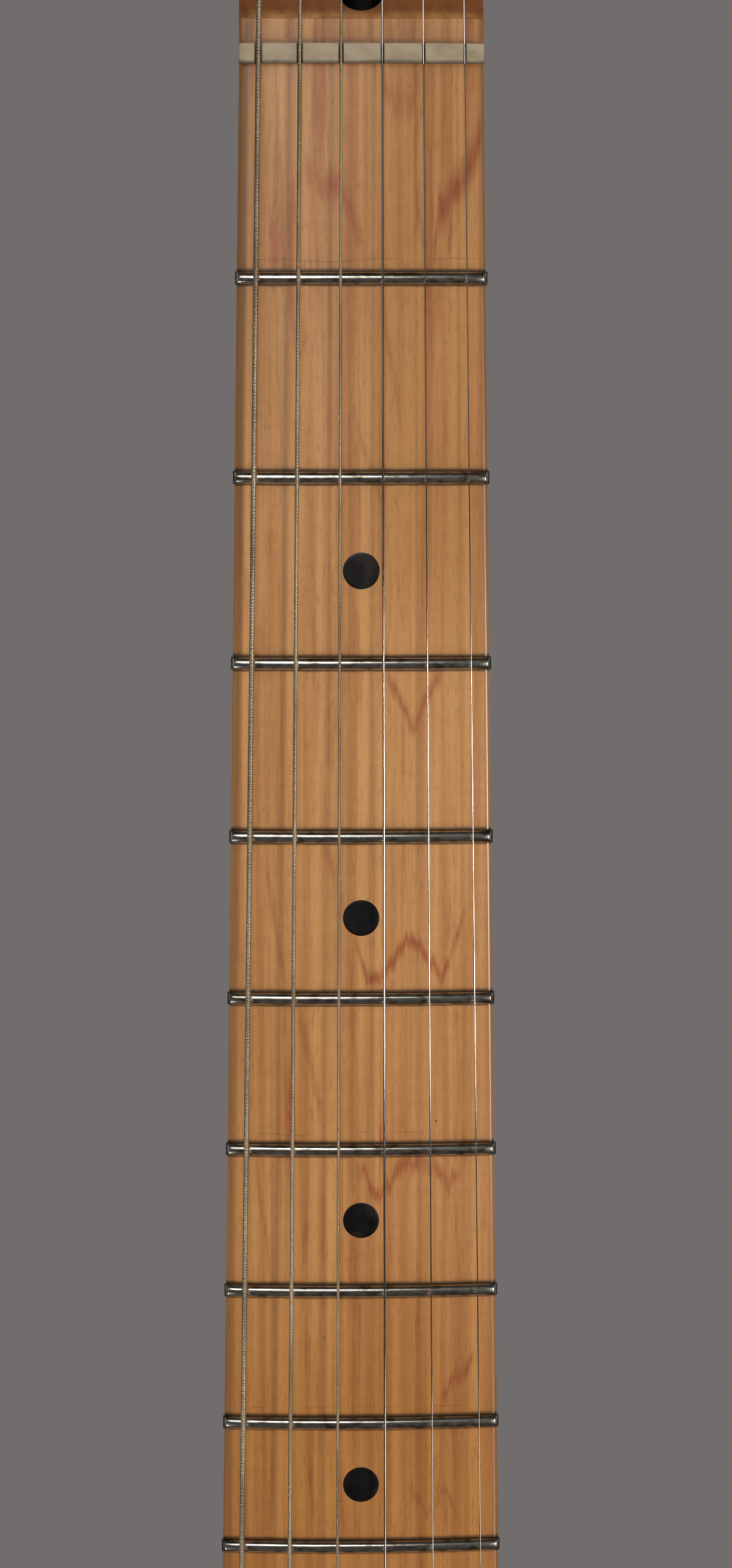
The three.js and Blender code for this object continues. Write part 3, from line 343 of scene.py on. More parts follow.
class Skin:
    """Points and faces of one or more closed shells, gathered before they become a mesh."""

    def __init__(self) -> None:
        """Starts with nothing in it."""
        self.points: list[Vector] = []
        self.faces: list[list[int]] = []

    def add(self, points: Iterable[Vector], faces: Iterable[Face]) -> "Skin":
        """Adds a shell.

        Args:
            points: The shell's points.
            faces: Its faces, as places in the points.

        Returns:
            The skin itself.
        """
        base = len(self.points)
        self.points.extend(Vector(p) for p in points)
        self.faces.extend([base + i for i in face] for face in faces)
        return self

    def loft(self, rings: Sequence[Sequence[Vector]], capped: bool = True) -> "Skin":
        """Adds a skin through rings of equal size, closed by flat ends.

        Args:
            rings: Closed rings of points.
            capped: Whether both ends get a face.

        Returns:
            The skin itself.
        """
        size = len(rings[0])
        faces: list[list[int]] = []
        for r in range(len(rings) - 1):
            for i in range(size):
                j = (i + 1) % size
                faces.append([r * size + i, r * size + j, (r + 1) * size + j, (r + 1) * size + i])
        if capped:
            faces.append(list(range(size))[::-1])
            faces.append([(len(rings) - 1) * size + i for i in range(size)])
        return self.add([p for ring in rings for p in ring], faces)

    def turned(self, profile: Sequence[Pair], sides: int, frame: Optional[Matrix] = None) -> "Skin":
        """Adds a turned shell about Y.

        Args:
            profile: Radius and height pairs from one end of the axis to the other.
            sides: How many facets go round.
            frame: Where the piece's own axes lie.

        Returns:
            The skin itself.
        """
        frame = frame or Matrix.Identity(4)
        rings = [[frame @ Vector((radius * cos(a), height, radius * sin(a)))
                  for a in round_angles(sides)] for radius, height in profile]
        return self.loft(rings, capped=False)

    def tube(self, route: Sequence[Vector], radii: Sequence[float], sides: int) -> "Skin":
        """Adds a round tube along a route.

        Args:
            route: The tube's centre line.
            radii: One radius for each point of the route.
            sides: How many facets go round.

        Returns:
            The skin itself.
        """
        across = Vector((1, 0, 0))
        rings = []
        for i, point in enumerate(route):
            along = (route[min(i + 1, len(route) - 1)] - route[max(i - 1, 0)]).normalized()
            across = (across - along * across.dot(along)).normalized()
            up = along.cross(across)
            rings.append([point + across * (radii[i] * cos(a)) + up * (radii[i] * sin(a))
                          for a in round_angles(sides)])
        return self.loft(rings)

    def moved(self, frame: Matrix) -> "Skin":
        """Returns a copy of the skin, put in a frame."""
        copy = Skin()
        return copy.add([frame @ p for p in self.points], self.faces)

    def mesh(self, name: str, smooth: float = 35.0) -> Mesh:
        """Turns the skin into a mesh with welded poles and faces that point out.

        Args:
            name: The mesh's name.
            smooth: Edges below this many degrees are shaded smooth.

        Returns:
            The mesh.
        """
        made = bpy.data.meshes.new(name)
        shell = bmesh.new()
        corners = [shell.verts.new(p) for p in self.points]
        for face in self.faces:
            shell.faces.new([corners[i] for i in face])
        bmesh.ops.remove_doubles(shell, verts=shell.verts, dist=WELD)
        bmesh.ops.dissolve_degenerate(shell, edges=shell.edges, dist=WELD / 2)
        bmesh.ops.recalc_face_normals(shell, faces=shell.faces)
        shell.to_mesh(made)
        shell.free()
        shade(made, smooth)
        return made


def shade(mesh: Mesh, smooth: float) -> None:
    """Shades a mesh smooth except at its sharp edges."""
    mesh.shade_smooth()
    mesh.set_sharp_from_angle(angle=radians(smooth))


def show(name: str, mesh: Mesh, material: Material,
         replaces: Sequence[str] = (), body: str = Body.ROOT.value) -> Object:
    """Makes a finished mesh a piece of the neck.

    Args:
        name: The piece's name.
        mesh: Its mesh, in place.
        material: Its finish.
        replaces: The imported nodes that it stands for.
        body: The body that it rides on.

    Returns:
        The piece.
    """
    piece = placed(name, mesh)
    if not mesh.materials:
        mesh.materials.append(material)
    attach(piece, body)
    if replaces:
        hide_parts(*replaces)
    LOG.info("%s: %d faces, on %s", name, len(mesh.polygons), body)
    return piece


def baked(piece: Object, name: str, smooth: float) -> Mesh:
    """Turns an object with live modifiers into a plain mesh.

    Args:
        piece: The object.
        name: The mesh's name.
        smooth: Edges below this many degrees are shaded smooth.

    Returns:
        The mesh.
    """
    view = bpy.context.evaluated_depsgraph_get()
    made = bpy.data.meshes.new_from_object(piece.evaluated_get(view))
    made.name = name
    shade(made, smooth)
    return made


class Cut(Enum):
    """How one solid acts on another."""

    JOIN = "UNION"
    REMOVE = "DIFFERENCE"


def carve(base: Mesh, tool: Mesh, how: Cut, smooth: float = 35.0) -> Mesh:
    """Joins a solid to another or cuts it away.

    Args:
        base: The solid that stays.
        tool: The solid that acts on it.
        how: Whether it is joined or removed.
        smooth: Edges below this many degrees are shaded smooth.

    Returns:
        The resulting mesh.
    """
    kept, acting = placed("carve", base), placed("carve", tool)
    boolean = kept.modifiers.new("carve", "BOOLEAN")
    boolean.operation, boolean.object, boolean.solver = how.value, acting, "EXACT"
    made = baked(kept, base.name, smooth)
    for piece in (kept, acting):
        bpy.data.objects.remove(piece)
    return made


# Shading


class Wire:
    """A socket whose sums in Python add Math nodes."""

    def __init__(self, tree: "NodeTree", socket: NodeSocket) -> None:
        """Wraps a socket of a tree."""
        self.tree = tree
        self.socket = socket

    def __add__(self, other: "Value") -> "Wire":
        """Adds."""
        return self.tree.math("ADD", self, other)

    __radd__ = __add__

    def __sub__(self, other: "Value") -> "Wire":
        """Subtracts."""
        return self.tree.math("SUBTRACT", self, other)

    def __rsub__(self, other: "Value") -> "Wire":
        """Subtracts from a number."""
        return self.tree.math("SUBTRACT", other, self)

    def __mul__(self, other: "Value") -> "Wire":
        """Multiplies."""
        return self.tree.math("MULTIPLY", self, other)

    __rmul__ = __mul__

    def __truediv__(self, other: "Value") -> "Wire":
        """Divides."""
        return self.tree.math("DIVIDE", self, other)

    def __rtruediv__(self, other: "Value") -> "Wire":
        """Divides a number."""
        return self.tree.math("DIVIDE", other, self)

    def __pow__(self, other: "Value") -> "Wire":
        """Raises to a power."""
        return self.tree.math("POWER", self, other)

    def __rpow__(self, other: "Value") -> "Wire":
        """Raises a number to this power."""
        return self.tree.math("POWER", other, self)


Value = Union[Wire, float, tuple]


class NodeTree:
    """A node tree, with one method that makes any node."""

    def __init__(self, group: bpy.types.NodeTree) -> None:
        """Starts with an empty tree."""
        self.group = group
        self.group.nodes.clear()

    def node(self, kind: str, settings: Optional[dict] = None,
             sockets: Optional[dict] = None) -> Node:
        """Makes a node.

        Args:
            kind: The node's type.
            settings: Its settings, set first.
            sockets: Values or wires for its inputs; a list feeds one input many times.

        Returns:
            The node.
        """
        made = self.group.nodes.new(kind)
        for key, value in (settings or {}).items():
            setattr(made, key, value)
        for key, value in (sockets or {}).items():
            for item in value if isinstance(value, list) else [value]:
                if isinstance(item, Wire):
                    self.group.links.new(item.socket, made.inputs[key])
                else:
                    made.inputs[key].default_value = item
        return made

    def wire(self, node: Node, output: Union[int, str] = 0) -> Wire:
        """Wraps one of a node's outputs."""
        return Wire(self, node.outputs[output])

    def out(self, kind: str, settings: Optional[dict] = None, sockets: Optional[dict] = None) -> Wire:
        """Makes a node and wraps its first output."""
        return self.wire(self.node(kind, settings, sockets))

    def math(self, operation: str, *values: Value) -> Wire:
        """Adds a Math node on up to three values."""
        return self.out("ShaderNodeMath", {"operation": operation}, dict(enumerate(values)))


class ShaderTree(NodeTree):
    """A material's node tree."""

    def __init__(self, name: str) -> None:
        """Starts an empty material.

        Args:
            name: The material's name.
        """
        self.material = bpy.data.materials.new(name)
        self.material.use_nodes = True
        super().__init__(self.material.node_tree)
        self.place = self.wire(self.node("ShaderNodeTexCoord"), "Object")
        parts = self.node("ShaderNodeSeparateXYZ", sockets={"Vector": self.place})
        self.x, self.y, self.z = (self.wire(parts, axis) for axis in "XYZ")

    def size_of(self, value: Wire) -> Wire:
        """Returns a value without its sign."""
        return self.math("ABSOLUTE", value)

    def most(self, *values: Value) -> Wire:
        """Returns the greatest of two or more values."""
        return reduce(lambda first, second: self.math("MAXIMUM", first, second), values)

    def step(self, value: Wire, low: float, high: float) -> Wire:
        """Returns a wire that rises smoothly from 0 to 1 between two values."""
        return self.out("ShaderNodeMapRange", {"interpolation_type": "SMOOTHSTEP"},
                        {"Value": value, "From Min": low, "From Max": high})

    def fade(self, value: Wire, low: float, high: float) -> Wire:
        """Returns a wire that falls smoothly from 1 to 0 between two values."""
        return 1.0 - self.step(value, low, high)

    def blend(self, share: Value, first: Value, second: Value, how: str = "MIX") -> Wire:
        """Returns the mix of two colours."""
        return self.wire(self.node("ShaderNodeMix", {"data_type": "RGBA", "blend_type": how},
                                   {0: share, 6: first, 7: second}), 2)

    def curve(self, value: Wire, shares: Sequence[Pair]) -> Wire:
        """Reads a value through a curve.

        Args:
            value: The value, between 0 and 1.
            shares: The curve's points.

        Returns:
            The curve's height there.
        """
        made = self.node("ShaderNodeFloatCurve", sockets={"Value": value})
        points = made.mapping.curves[0].points
        while len(points) < len(shares):
            points.new(0.5, 0.5)
        for point, place in zip(points, shares):
            point.location, point.handle_type = place, "VECTOR"
        made.mapping.update()
        return self.wire(made)

    def noise(self, scale: Triple, detail: float = 2.0, roughness: float = 0.5,
              shift: float = 0.0) -> Wire:
        """Makes noise on the piece's own coordinates.

        Args:
            scale: How fine it is along X, Y and Z, which sets its grain.
            detail: How many finer layers it has.
            roughness: How strong they are.
            shift: A shift that keeps two patterns apart.

        Returns:
            The noise, between 0 and 1.
        """
        vector = self.out("ShaderNodeMapping", sockets={
            "Vector": self.place, "Location": (shift, shift, shift), "Scale": scale})
        return self.out("ShaderNodeTexNoise", sockets={
            "Vector": vector, "Scale": 1.0, "Detail": detail, "Roughness": roughness})

    def bump(self, height: Wire, strength: float, distance: float) -> Wire:
        """Returns a normal bent by a height."""
        return self.out("ShaderNodeBump", sockets={
            "Height": height, "Strength": strength, "Distance": distance})

    def done(self, **sockets: Value) -> Material:
        """Ends the tree in a Principled shader.

        Args:
            **sockets: The shader's sockets, with underscores for spaces.

        Returns:
            The finished material.
        """
        named = {key.replace("_", " "): value for key, value in sockets.items()}
        shader = self.out("ShaderNodeBsdfPrincipled", sockets=named)
        self.node("ShaderNodeOutputMaterial", sockets={"Surface": shader})
        return self.material


@dataclass(frozen=True)
class Stroke:
    """One late-wood line of the board's figure, by X and distance from the nut in millimetres."""

    places: tuple[Pair, ...]
    width: float
    strength: float

    def share(self, tree: ShaderTree, shiver: Wire, fray: Wire) -> Wire:
        """Returns how far a place lies on the line.

        Args:
            tree: The material's tree.
            shiver: A small shift that makes the line unsteady.
            fray: A noise that thins the line out.

        Returns:
            A wire between 0 and the line's strength.
        """
        across, down = zip(*self.places)
        left, span, low = across[0], across[-1] - across[0], min(down)
        reach = max(max(down) - low, 1.0)
        place = (tree.x / MM - left) / span
        curve = tree.curve(place, [((x - left) / span, (d - low) / reach) for x, d in self.places])
        off = (PLAN.nut_z - tree.z) / MM - (curve * reach + low) + shiver
        line = tree.fade(tree.size_of(off) + fray * self.width, self.width * 0.2, self.width * 1.9)
        ends = tree.step(place, -0.02, 0.1) * tree.fade(place, 0.9, 1.02)
        return line * ends * self.strength


@dataclass(frozen=True)
class LacqueredMaple:
    """Flat-sawn maple under aged amber lacquer, with reddish growth figure and fine flecks, and painted
    shade towards the heel, near the nut, beside the frets, in the scoop and in the access hole.
    """

    pale: Colour = srgb(188, 137, 82)
    amber: Colour = srgb(163, 109, 56)
    figure: Colour = srgb(140, 66, 30)
    growth: Colour = srgb(136, 80, 36)
    fleck: Colour = srgb(118, 72, 34)
    edge: Colour = srgb(120, 76, 30)
    hairline: Colour = srgb(88, 56, 24)
    # Dark colour of the real nicks and of the dirt and painted shadow beside the frets.
    grime_and_shade: Colour = srgb(44, 32, 12)
    # Multiplied in for random lacquer tone and for painted shade towards the heel and near the nut.
    age: Colour = (0.75, 0.64, 0.41, 1.0)
    # Painted shade of the scoop behind the nut.
    thick: Colour = srgb(112, 60, 22)
    hole_shade: Colour = srgb(10, 9, 8)
    ring_pitch: float = 46 * MM
    foot: float = 1.1 * MM
    shade_and_dirt_above: float = 0.62 * MM
    shade_and_dirt_below: float = 0.36 * MM
    crack_frets: tuple[int, ...] = (1, 6, 8)
    crack_rise: float = 3.0 * MM
    crack_sway: float = 2.4 * MM
    nicks: tuple[Triple, ...] = (
        (13.3, 184.6, 0.2), (-22.9, 108.4, 0.5), (-24.2, 169.0, 0.55), (22.0, 61.0, 0.24),
        (-6.5, 224.0, 0.16))
    strokes: tuple[Stroke, ...] = (
        Stroke(((12.0, 37), (12.6, 31), (13.2, 26), (16.4, 21), (18.8, 17), (20.3, 13), (21.6, 10)),
               3.9, 1.0),
        Stroke(((-10, 17), (-7, 20.5), (-3.6, 21), (-1.5, 26), (0.6, 31)), 2.8, 0.75),
        Stroke(((3.4, 4), (6.5, 7), (9.5, 5), (10.6, 2)), 2.6, 0.6),
        Stroke(((9.4, 22), (10.4, 28), (11.3, 33)), 3.4, 0.6),
        Stroke(((3.4, 39), (4.4, 47), (5.4, 53), (7, 61)), 3.6, 0.4),
        Stroke(((-1, 61), (2.5, 72), (4.5, 76)), 1.8, 0.35),
        Stroke(((4, 105), (6.5, 108.5), (9.4, 114.8), (11.5, 109), (14.5, 104.5)), 1.7, 0.8),
        Stroke(((-7.2, 134), (-5, 139), (-3, 146)), 2.4, 0.45),
        Stroke(((-16.8, 139), (-15.6, 146), (-14.8, 152), (-13.4, 159)), 3.4, 0.5),
        Stroke(((-1.7, 150.5), (1, 157.8), (3.1, 158.8), (4.9, 157), (7.8, 152.7), (11.3, 154.8),
                (14.3, 158.7), (17.4, 150.5), (18.6, 146)), 1.5, 0.95),
        Stroke(((-11.4, 164), (-10, 170), (-9, 174), (-7, 182)), 3.2, 0.5),
        Stroke(((-1.4, 191.6), (3.2, 198.6), (7.5, 192.1), (13, 192.4), (15.4, 196), (18.4, 192.5)),
               1.6, 0.85),
        Stroke(((-18.8, 192), (-17.4, 202), (-16.2, 211)), 3.6, 0.45),
        Stroke(((14.2, 235.4), (17, 231.8), (20.3, 227.9)), 1.6, 0.7),
        Stroke(((8, 250), (12, 257), (15, 252), (18, 259)), 1.1, 0.5),
        Stroke(((-6, 290), (1, 303), (6, 296), (11, 309), (17, 292)), 1.2, 0.7),
        Stroke(((-9, 352), (-2, 367), (5, 380), (10, 362), (15, 349)), 1.3, 0.7),
        Stroke(((-14, 405), (-4, 424), (3, 436), (12, 418), (19, 404)), 1.4, 0.7),
    )

    def build(self) -> Material:
        """Builds the material.

        Returns:
            The material.
        """
        tree = ShaderTree("lacquered_maple")
        sway = tree.noise((60, 60, 9), 3.0)
        shiver = tree.noise((330, 330, 60), 2.0, shift=3.1)
        patch = tree.step(tree.noise((70, 70, 16), 2.0, shift=7.7), 0.36, 0.62)
        streak = tree.noise((520, 520, 9), 4.0, 0.6, shift=1.3)
        cloud = tree.noise((45, 45, 14), 2.0, shift=5.2)
        fine = tree.noise((2600, 2600, 420), 2.0, 0.6, shift=2.2)
        light = tree.noise((2100, 2100, 380), 2.0, 0.6, shift=8.8)
        curl = tree.noise((160, 160, 700), 2.0, shift=4.4)
        red = tree.noise((360, 360, 26), 3.0, 0.55, shift=12.5)
        growth = tree.noise((370, 370, 6), 3.0, 0.55, shift=17.3)
        tone = tree.step(streak * 0.75 + cloud * 0.35 + curl * 0.1, 0.45, 0.78)
        colour = tree.blend(tone, self.pale, self.amber)
        colour = tree.blend(tree.step(growth, 0.5, 0.66) * 0.34, colour, self.growth)
        drawn = self.figure_share(tree, shiver, fine)
        beyond_board = tree.most(tree.step(tree.y, PLAN.y_at(6.2 * MM), PLAN.y_at(9 * MM)),
                                 tree.step(tree.z, PLAN.z_at(6 * MM), PLAN.z_at(30 * MM)))
        rings = self.ring_share(tree, sway, shiver) * patch * beyond_board * 0.6
        veins = tree.step(red, 0.55, 0.72) * (patch * 0.6 + 0.25)
        marks = tree.most(drawn, rings, veins)
        colour = tree.blend(marks * (fine * 0.7 + 0.45), colour, self.figure)
        colour = tree.blend(tree.step(fine, 0.52, 0.74) * 0.3, colour, self.fleck)
        colour = tree.blend(tree.step(light, 0.55, 0.74) * 0.22, colour, self.pale)
        # Painted shade: the wood is drawn darker towards the heel; the cloud adds real random tone.
        painted_shade_to_heel = tree.fade(tree.z, 0.1, 0.42) * 0.2 + tree.fade(tree.z, 0.165, 0.235)
        colour = tree.blend(painted_shade_to_heel + cloud * 0.15, colour, self.age, "MULTIPLY")
        # Painted shade from the nut to the third fret, strongest on the treble side.
        colour = tree.blend(self.painted_shade_near_nut(tree), colour, self.age, "MULTIPLY")
        rolled = self.side_share(tree) * (tree.step(tree.z, 0.3, 0.4) * 0.3 + 0.55)
        colour = tree.blend(rolled, colour, self.edge)
        colour = tree.blend(self.nick_share(tree), colour, self.grime_and_shade)
        above, below, crack = self.fret_shares(tree, shiver)
        colour = tree.blend(crack * 0.4, colour, self.hairline)
        # Dirt and painted shadow along both sides of each fret.
        colour = tree.blend(tree.most(above * 0.85, below * 0.8), colour, self.grime_and_shade)
        # Painted shade in the scoop behind the nut.
        colour = tree.blend(self.painted_scoop_shade(tree) * 0.8, colour, self.thick)
        # Painted shade inside the truss rod's access hole.
        colour = tree.blend(self.painted_hole_shade(tree), colour, self.hole_shade)
        grain = tree.bump(fine * 0.5 + streak * 0.5, 0.16, 0.0001)
        return tree.done(Base_Color=colour, Roughness=streak * 0.14 + 0.34, Normal=grain,
                         Coat_Weight=0.55, Coat_Roughness=0.2, Specular_IOR_Level=0.3)

    def front(self, tree: ShaderTree, shallow: float = 5 * MM, deep: float = 8 * MM) -> Wire:
        """Returns 1 on the board's side of the neck, fading out between two depths."""
        return tree.fade(tree.y, PLAN.y_at(shallow), PLAN.y_at(deep))

    def ring_share(self, tree: ShaderTree, sway: Wire, shiver: Wire) -> Wire:
        """Draws the late wood's lines of the back, the heel and the headstock.

        Args:
            tree: The material's tree.
            sway: A slow noise that bends the lines.
            shiver: A finer noise that makes them unsteady.

        Returns:
            A wire between 0 and 1.
        """
        slope = tree.size_of(tree.x) * 95.0
        rings = tree.z / self.ring_pitch + slope + sway * 1.5 + shiver * 0.16
        share = tree.math("FRACT", rings)
        return tree.step(share, 0.0, 0.06) * (1.0 - share) ** 8.0

    def figure_share(self, tree: ShaderTree, shiver: Wire, fine: Wire) -> Wire:
        """Draws the late wood's lines of the board.

        Args:
            tree: The material's tree.
            shiver: A noise that makes the lines unsteady.
            fine: A noise that frays their edges.

        Returns:
            A wire between 0 and 1.
        """
        jag = tree.noise((1300, 1300, 45), 2.0, shift=5.5)
        broken = tree.step(tree.noise((540, 540, 130), 2.0, shift=11.4), 0.3, 0.62)
        unsteady = (shiver - 0.5) * 2.2 + (jag - 0.5) * 5.0
        fray = fine * 0.5
        lines = tree.most(*(stroke.share(tree, unsteady, fray) for stroke in self.strokes))
        return lines * (broken * 0.5 + 0.6) * self.front(tree)

    def fret_shares(self, tree: ShaderTree, shiver: Wire) -> tuple[Wire, Wire, Wire]:
        """Finds the dirt and painted fret shadow beside the frets, and the cracks above some.

        Args:
            tree: The material's tree.
            shiver: A noise that makes the dirt's edges unsteady.

        Returns:
            Wires for the dirt and painted shadow above each fret, the same below it, and the cracks.
        """
        down = tree.math("MINIMUM", tree.most(PLAN.nut_z - tree.z, 0.0), PLAN.board_length)
        count = tree.math("LOGARITHM", 1.0 - down / PLAN.scale_length, 2.0) * -12.0
        nearest = tree.most(tree.math("ROUND", count), 1.0)
        rise = 2.0 ** (nearest / -12.0) * -PLAN.scale_length + PLAN.scale_length
        off = rise - down
        wave = shiver * (0.3 * MM)
        above, below = (
            tree.fade(side - wave, self.foot, self.foot + spread) * tree.step(side, 0.0, 0.1 * MM)
            for side, spread in ((off, self.shade_and_dirt_above), (off * -1.0, self.shade_and_dirt_below)))
        sway = (tree.noise((110, 110, 20), 3.0, shift=9.1) - 0.5) * self.crack_sway
        line = tree.size_of(off - self.crack_rise + sway)
        crack = tree.fade(line, 0.02 * MM, 0.15 * MM) \
            * tree.step(tree.noise((150, 150, 150), 2.0, shift=6.0), 0.42, 0.56)
        chosen = tree.most(*(tree.math("COMPARE", nearest, float(n), 0.3) for n in self.crack_frets))
        front = self.front(tree, 4.6 * MM, 5.4 * MM)
        return above * front, below * front, crack * chosen * front

    def nick_share(self, tree: ShaderTree) -> Wire:
        """Finds the small dark nicks in the lacquer.

        Args:
            tree: The material's tree.

        Returns:
            A wire between 0 and 1.
        """
        spots = []
        for x, down, radius in self.nicks:
            across = tree.x - x * MM
            along = (PLAN.nut_z - tree.z - down * MM) * 0.6
            gap = tree.math("SQRT", across * across + along * along)
            spots.append(tree.fade(gap, radius * 0.5 * MM, radius * MM))
        return tree.most(*spots) * self.front(tree) * 0.8

    def painted_shade_near_nut(self, tree: ShaderTree) -> Wire:
        """Finds where the board is painted darker as shade, from the nut to the third fret, most on the
        treble side.

        Args:
            tree: The material's tree.

        Returns:
            A wire between 0 and 1.
        """
        treble = tree.step(tree.x, -4 * MM, 6 * MM)
        share = treble * tree.step(tree.z, 0.315, 0.345) * 0.55 \
            + (1.0 - treble) * tree.step(tree.z, 0.35, 0.39) * 0.25
        return share * (1.0 - tree.step(tree.z, 0.405, 0.43) * 0.6) * self.front(tree)

    def side_share(self, tree: ShaderTree) -> Wire:
        """Finds the board's rolled edges, which are drawn darker.

        Args:
            tree: The material's tree.

        Returns:
            A wire between 0 and 1.
        """
        slope = (PLAN.width_at_heel - PLAN.width_at_nut) / 2 / PLAN.board_length
        half = (PLAN.nut_z - tree.z) * slope + PLAN.width_at_nut / 2
        bass = tree.step(tree.x * -1.0 - half, -2.1 * MM, -1.0 * MM)
        treble = tree.step(tree.x - half, -1.5 * MM, -0.3 * MM)
        board = tree.fade(tree.z, PLAN.z_at(PLAN.shelf_end), PLAN.z_at(PLAN.shelf_end + 4 * MM))
        return tree.most(bass, treble) * self.front(tree, 7 * MM, 11 * MM) * board

    def painted_scoop_shade(self, tree: ShaderTree) -> Wire:
        """Finds the scoop behind the nut, which is painted darker as shade.

        Args:
            tree: The material's tree.

        Returns:
            A wire between 0 and 1.
        """
        shelf = PLAN.shelf_end
        deep = tree.step(tree.y, PLAN.y_at(PLAN.shelf_drop + 0.3 * MM), PLAN.y_at(2.6 * MM))
        start = tree.step(tree.z, PLAN.z_at(shelf - MM), PLAN.z_at(shelf + 0.5 * MM))
        end = tree.fade(tree.z, PLAN.z_at(22 * MM), PLAN.z_at(60 * MM))
        return deep * start * end * self.front(tree, 8 * MM, 11 * MM)

    def painted_hole_shade(self, tree: ShaderTree) -> Wire:
        """Finds the truss rod's access hole, where painted shade darkens the recess.

        Args:
            tree: The material's tree.

        Returns:
            A wire between 0 and 1.
        """
        tilt, radius = PLAN.access_tilt, PLAN.access_radius
        down = tree.y - PLAN.y_at(PLAN.access_depth)
        along = tree.z - PLAN.z_at(PLAN.access_rise)
        off = down * cos(tilt) + along * sin(tilt)
        gap = tree.math("SQRT", tree.x * tree.x + off * off)
        inside = self.front(tree, 17 * MM, 18 * MM)
        return tree.fade(gap, radius + 0.02 * MM, radius + 0.2 * MM) * inside


@dataclass(frozen=True)
class AgedBone:
    """Bone with a faint grain, worn dull, with dirt and painted shade in and beside the string slots,
    and a painted shadow along its lower edge.
    """

    ivory: Colour = srgb(154, 137, 108)
    warm: Colour = srgb(135, 116, 86)
    dirt_and_shade: Colour = srgb(50, 38, 26)

    def build(self) -> Material:
        """Builds the material.

        Returns:
            The material.
        """
        tree = ShaderTree("aged_bone")
        streak = tree.noise((240, 700, 620), 3.0)
        cloud = tree.noise((220, 220, 420), 3.0, shift=4.0)
        colour = tree.blend(tree.step(streak, 0.3, 0.8), self.ivory, self.warm)
        pitch = tree.math("FRACT", tree.x / PLAN.nut_pitch + 0.5)
        near = tree.math("MINIMUM", pitch, 1.0 - pitch) * PLAN.nut_pitch
        wide = tree.step(tree.x * -1.0, -9 * MM, 16 * MM) * (0.2 * MM)
        # Dirt and painted shade in and beside the string slots, wider on the bass side.
        slot = tree.fade(near + cloud * 0.3 * MM - wide, 0.3 * MM, 0.55 * MM)
        # Painted shadow along the nut's lower edge.
        low = tree.fade(tree.z - cloud * 0.8 * MM, PLAN.z_at(-0.3 * MM), PLAN.z_at(0.35 * MM))
        colour = tree.blend(slot * 0.8, colour, self.dirt_and_shade)
        colour = tree.blend(low * 0.75, colour, self.dirt_and_shade)
        dent = tree.bump(streak + cloud, 0.2, 0.0001)
        return tree.done(Base_Color=colour, Roughness=cloud * 0.2 + 0.38, Normal=dent,
                         Coat_Weight=0.15, Coat_Roughness=0.3)


@dataclass(frozen=True)
class PolishedWire:
    """Nickel-silver fret wire, polished across its crown, with dark tarnish and painted shade low on its
    sides.
    """

    bright: Colour = srgb(226, 222, 212)
    tarnish: Colour = srgb(138, 128, 108)
    grime_and_shade: Colour = srgb(58, 50, 34)

    def build(self) -> Material:
        """Builds the material.

        Returns:
            The material.
        """
        tree = ShaderTree("polished_fret_wire")
        scratch = tree.noise((260, 2500, 5200), 3.0, 0.6)
        stain = tree.noise((420, 420, 900), 3.0, shift=2.0)
        colour = tree.blend(tree.step(stain, 0.42, 0.7), self.bright, self.tarnish)
        height = tree.x * tree.x / (2 * PLAN.board_radius) + PLAN.y_at(0.0) - tree.y
        # Tarnish and painted shade low on the fret's sides.
        low = tree.fade(height + stain * 0.3 * MM, 0.5 * MM, 0.95 * MM)
        colour = tree.blend(low * 0.85, colour, self.grime_and_shade)
        dent = tree.bump(scratch, 0.05, 0.00003)
        return tree.done(Base_Color=colour, Metallic=1.0,
                         Roughness=scratch * 0.12 + stain * 0.14 + low * 0.25 + 0.08, Normal=dent)


@dataclass(frozen=True)
class BlackInlay:
    """Glossy black inlay with a slightly cloudy face, whose worn patches are partly a painted sheen."""

    black: Colour = srgb(9, 7, 6)
    worn: Colour = srgb(46, 38, 32)

    def build(self) -> Material:
        """Builds the material.

        Returns:
            The material.
        """
        tree = ShaderTree("black_inlay")
        cloud = tree.noise((420, 420, 420), 4.0)
        grit = tree.noise((3000, 3000, 3000), 2.0)
        haze = tree.noise((170, 170, 170), 1.0, shift=6.4)
        # Patches of wear that also stand in for a painted sheen.
        worn = tree.step(haze, 0.52, 0.72) * (cloud * 0.5 + 0.3)
        colour = tree.blend(worn, self.black, self.worn)
        return tree.done(Base_Color=colour, Roughness=cloud * 0.25 + 0.2,
                         Normal=tree.bump(grit, 0.12, 0.00004), Specular_IOR_Level=0.35)


@dataclass(frozen=True)
class StringMetal:
    """String wire, with a little tarnish along it."""

    name: str
    bright: Colour
    dull: Colour
    roughness: float
    unevenness: float = 0.15

    def build(self) -> Material:
        """Builds the material.

        Returns:
            The material.
        """
        tree = ShaderTree(self.name)
        stain = tree.noise((500, 500, 60), 4.0)
        grit = tree.noise((4000, 4000, 1500), 2.0)
        colour = tree.blend(tree.step(stain, 0.35, 0.75), self.bright, self.dull)
        rough = stain * self.unevenness + self.roughness
        return tree.done(Base_Color=colour, Metallic=1.0, Roughness=rough,
                         Normal=tree.bump(grit, 0.05, 0.00002))


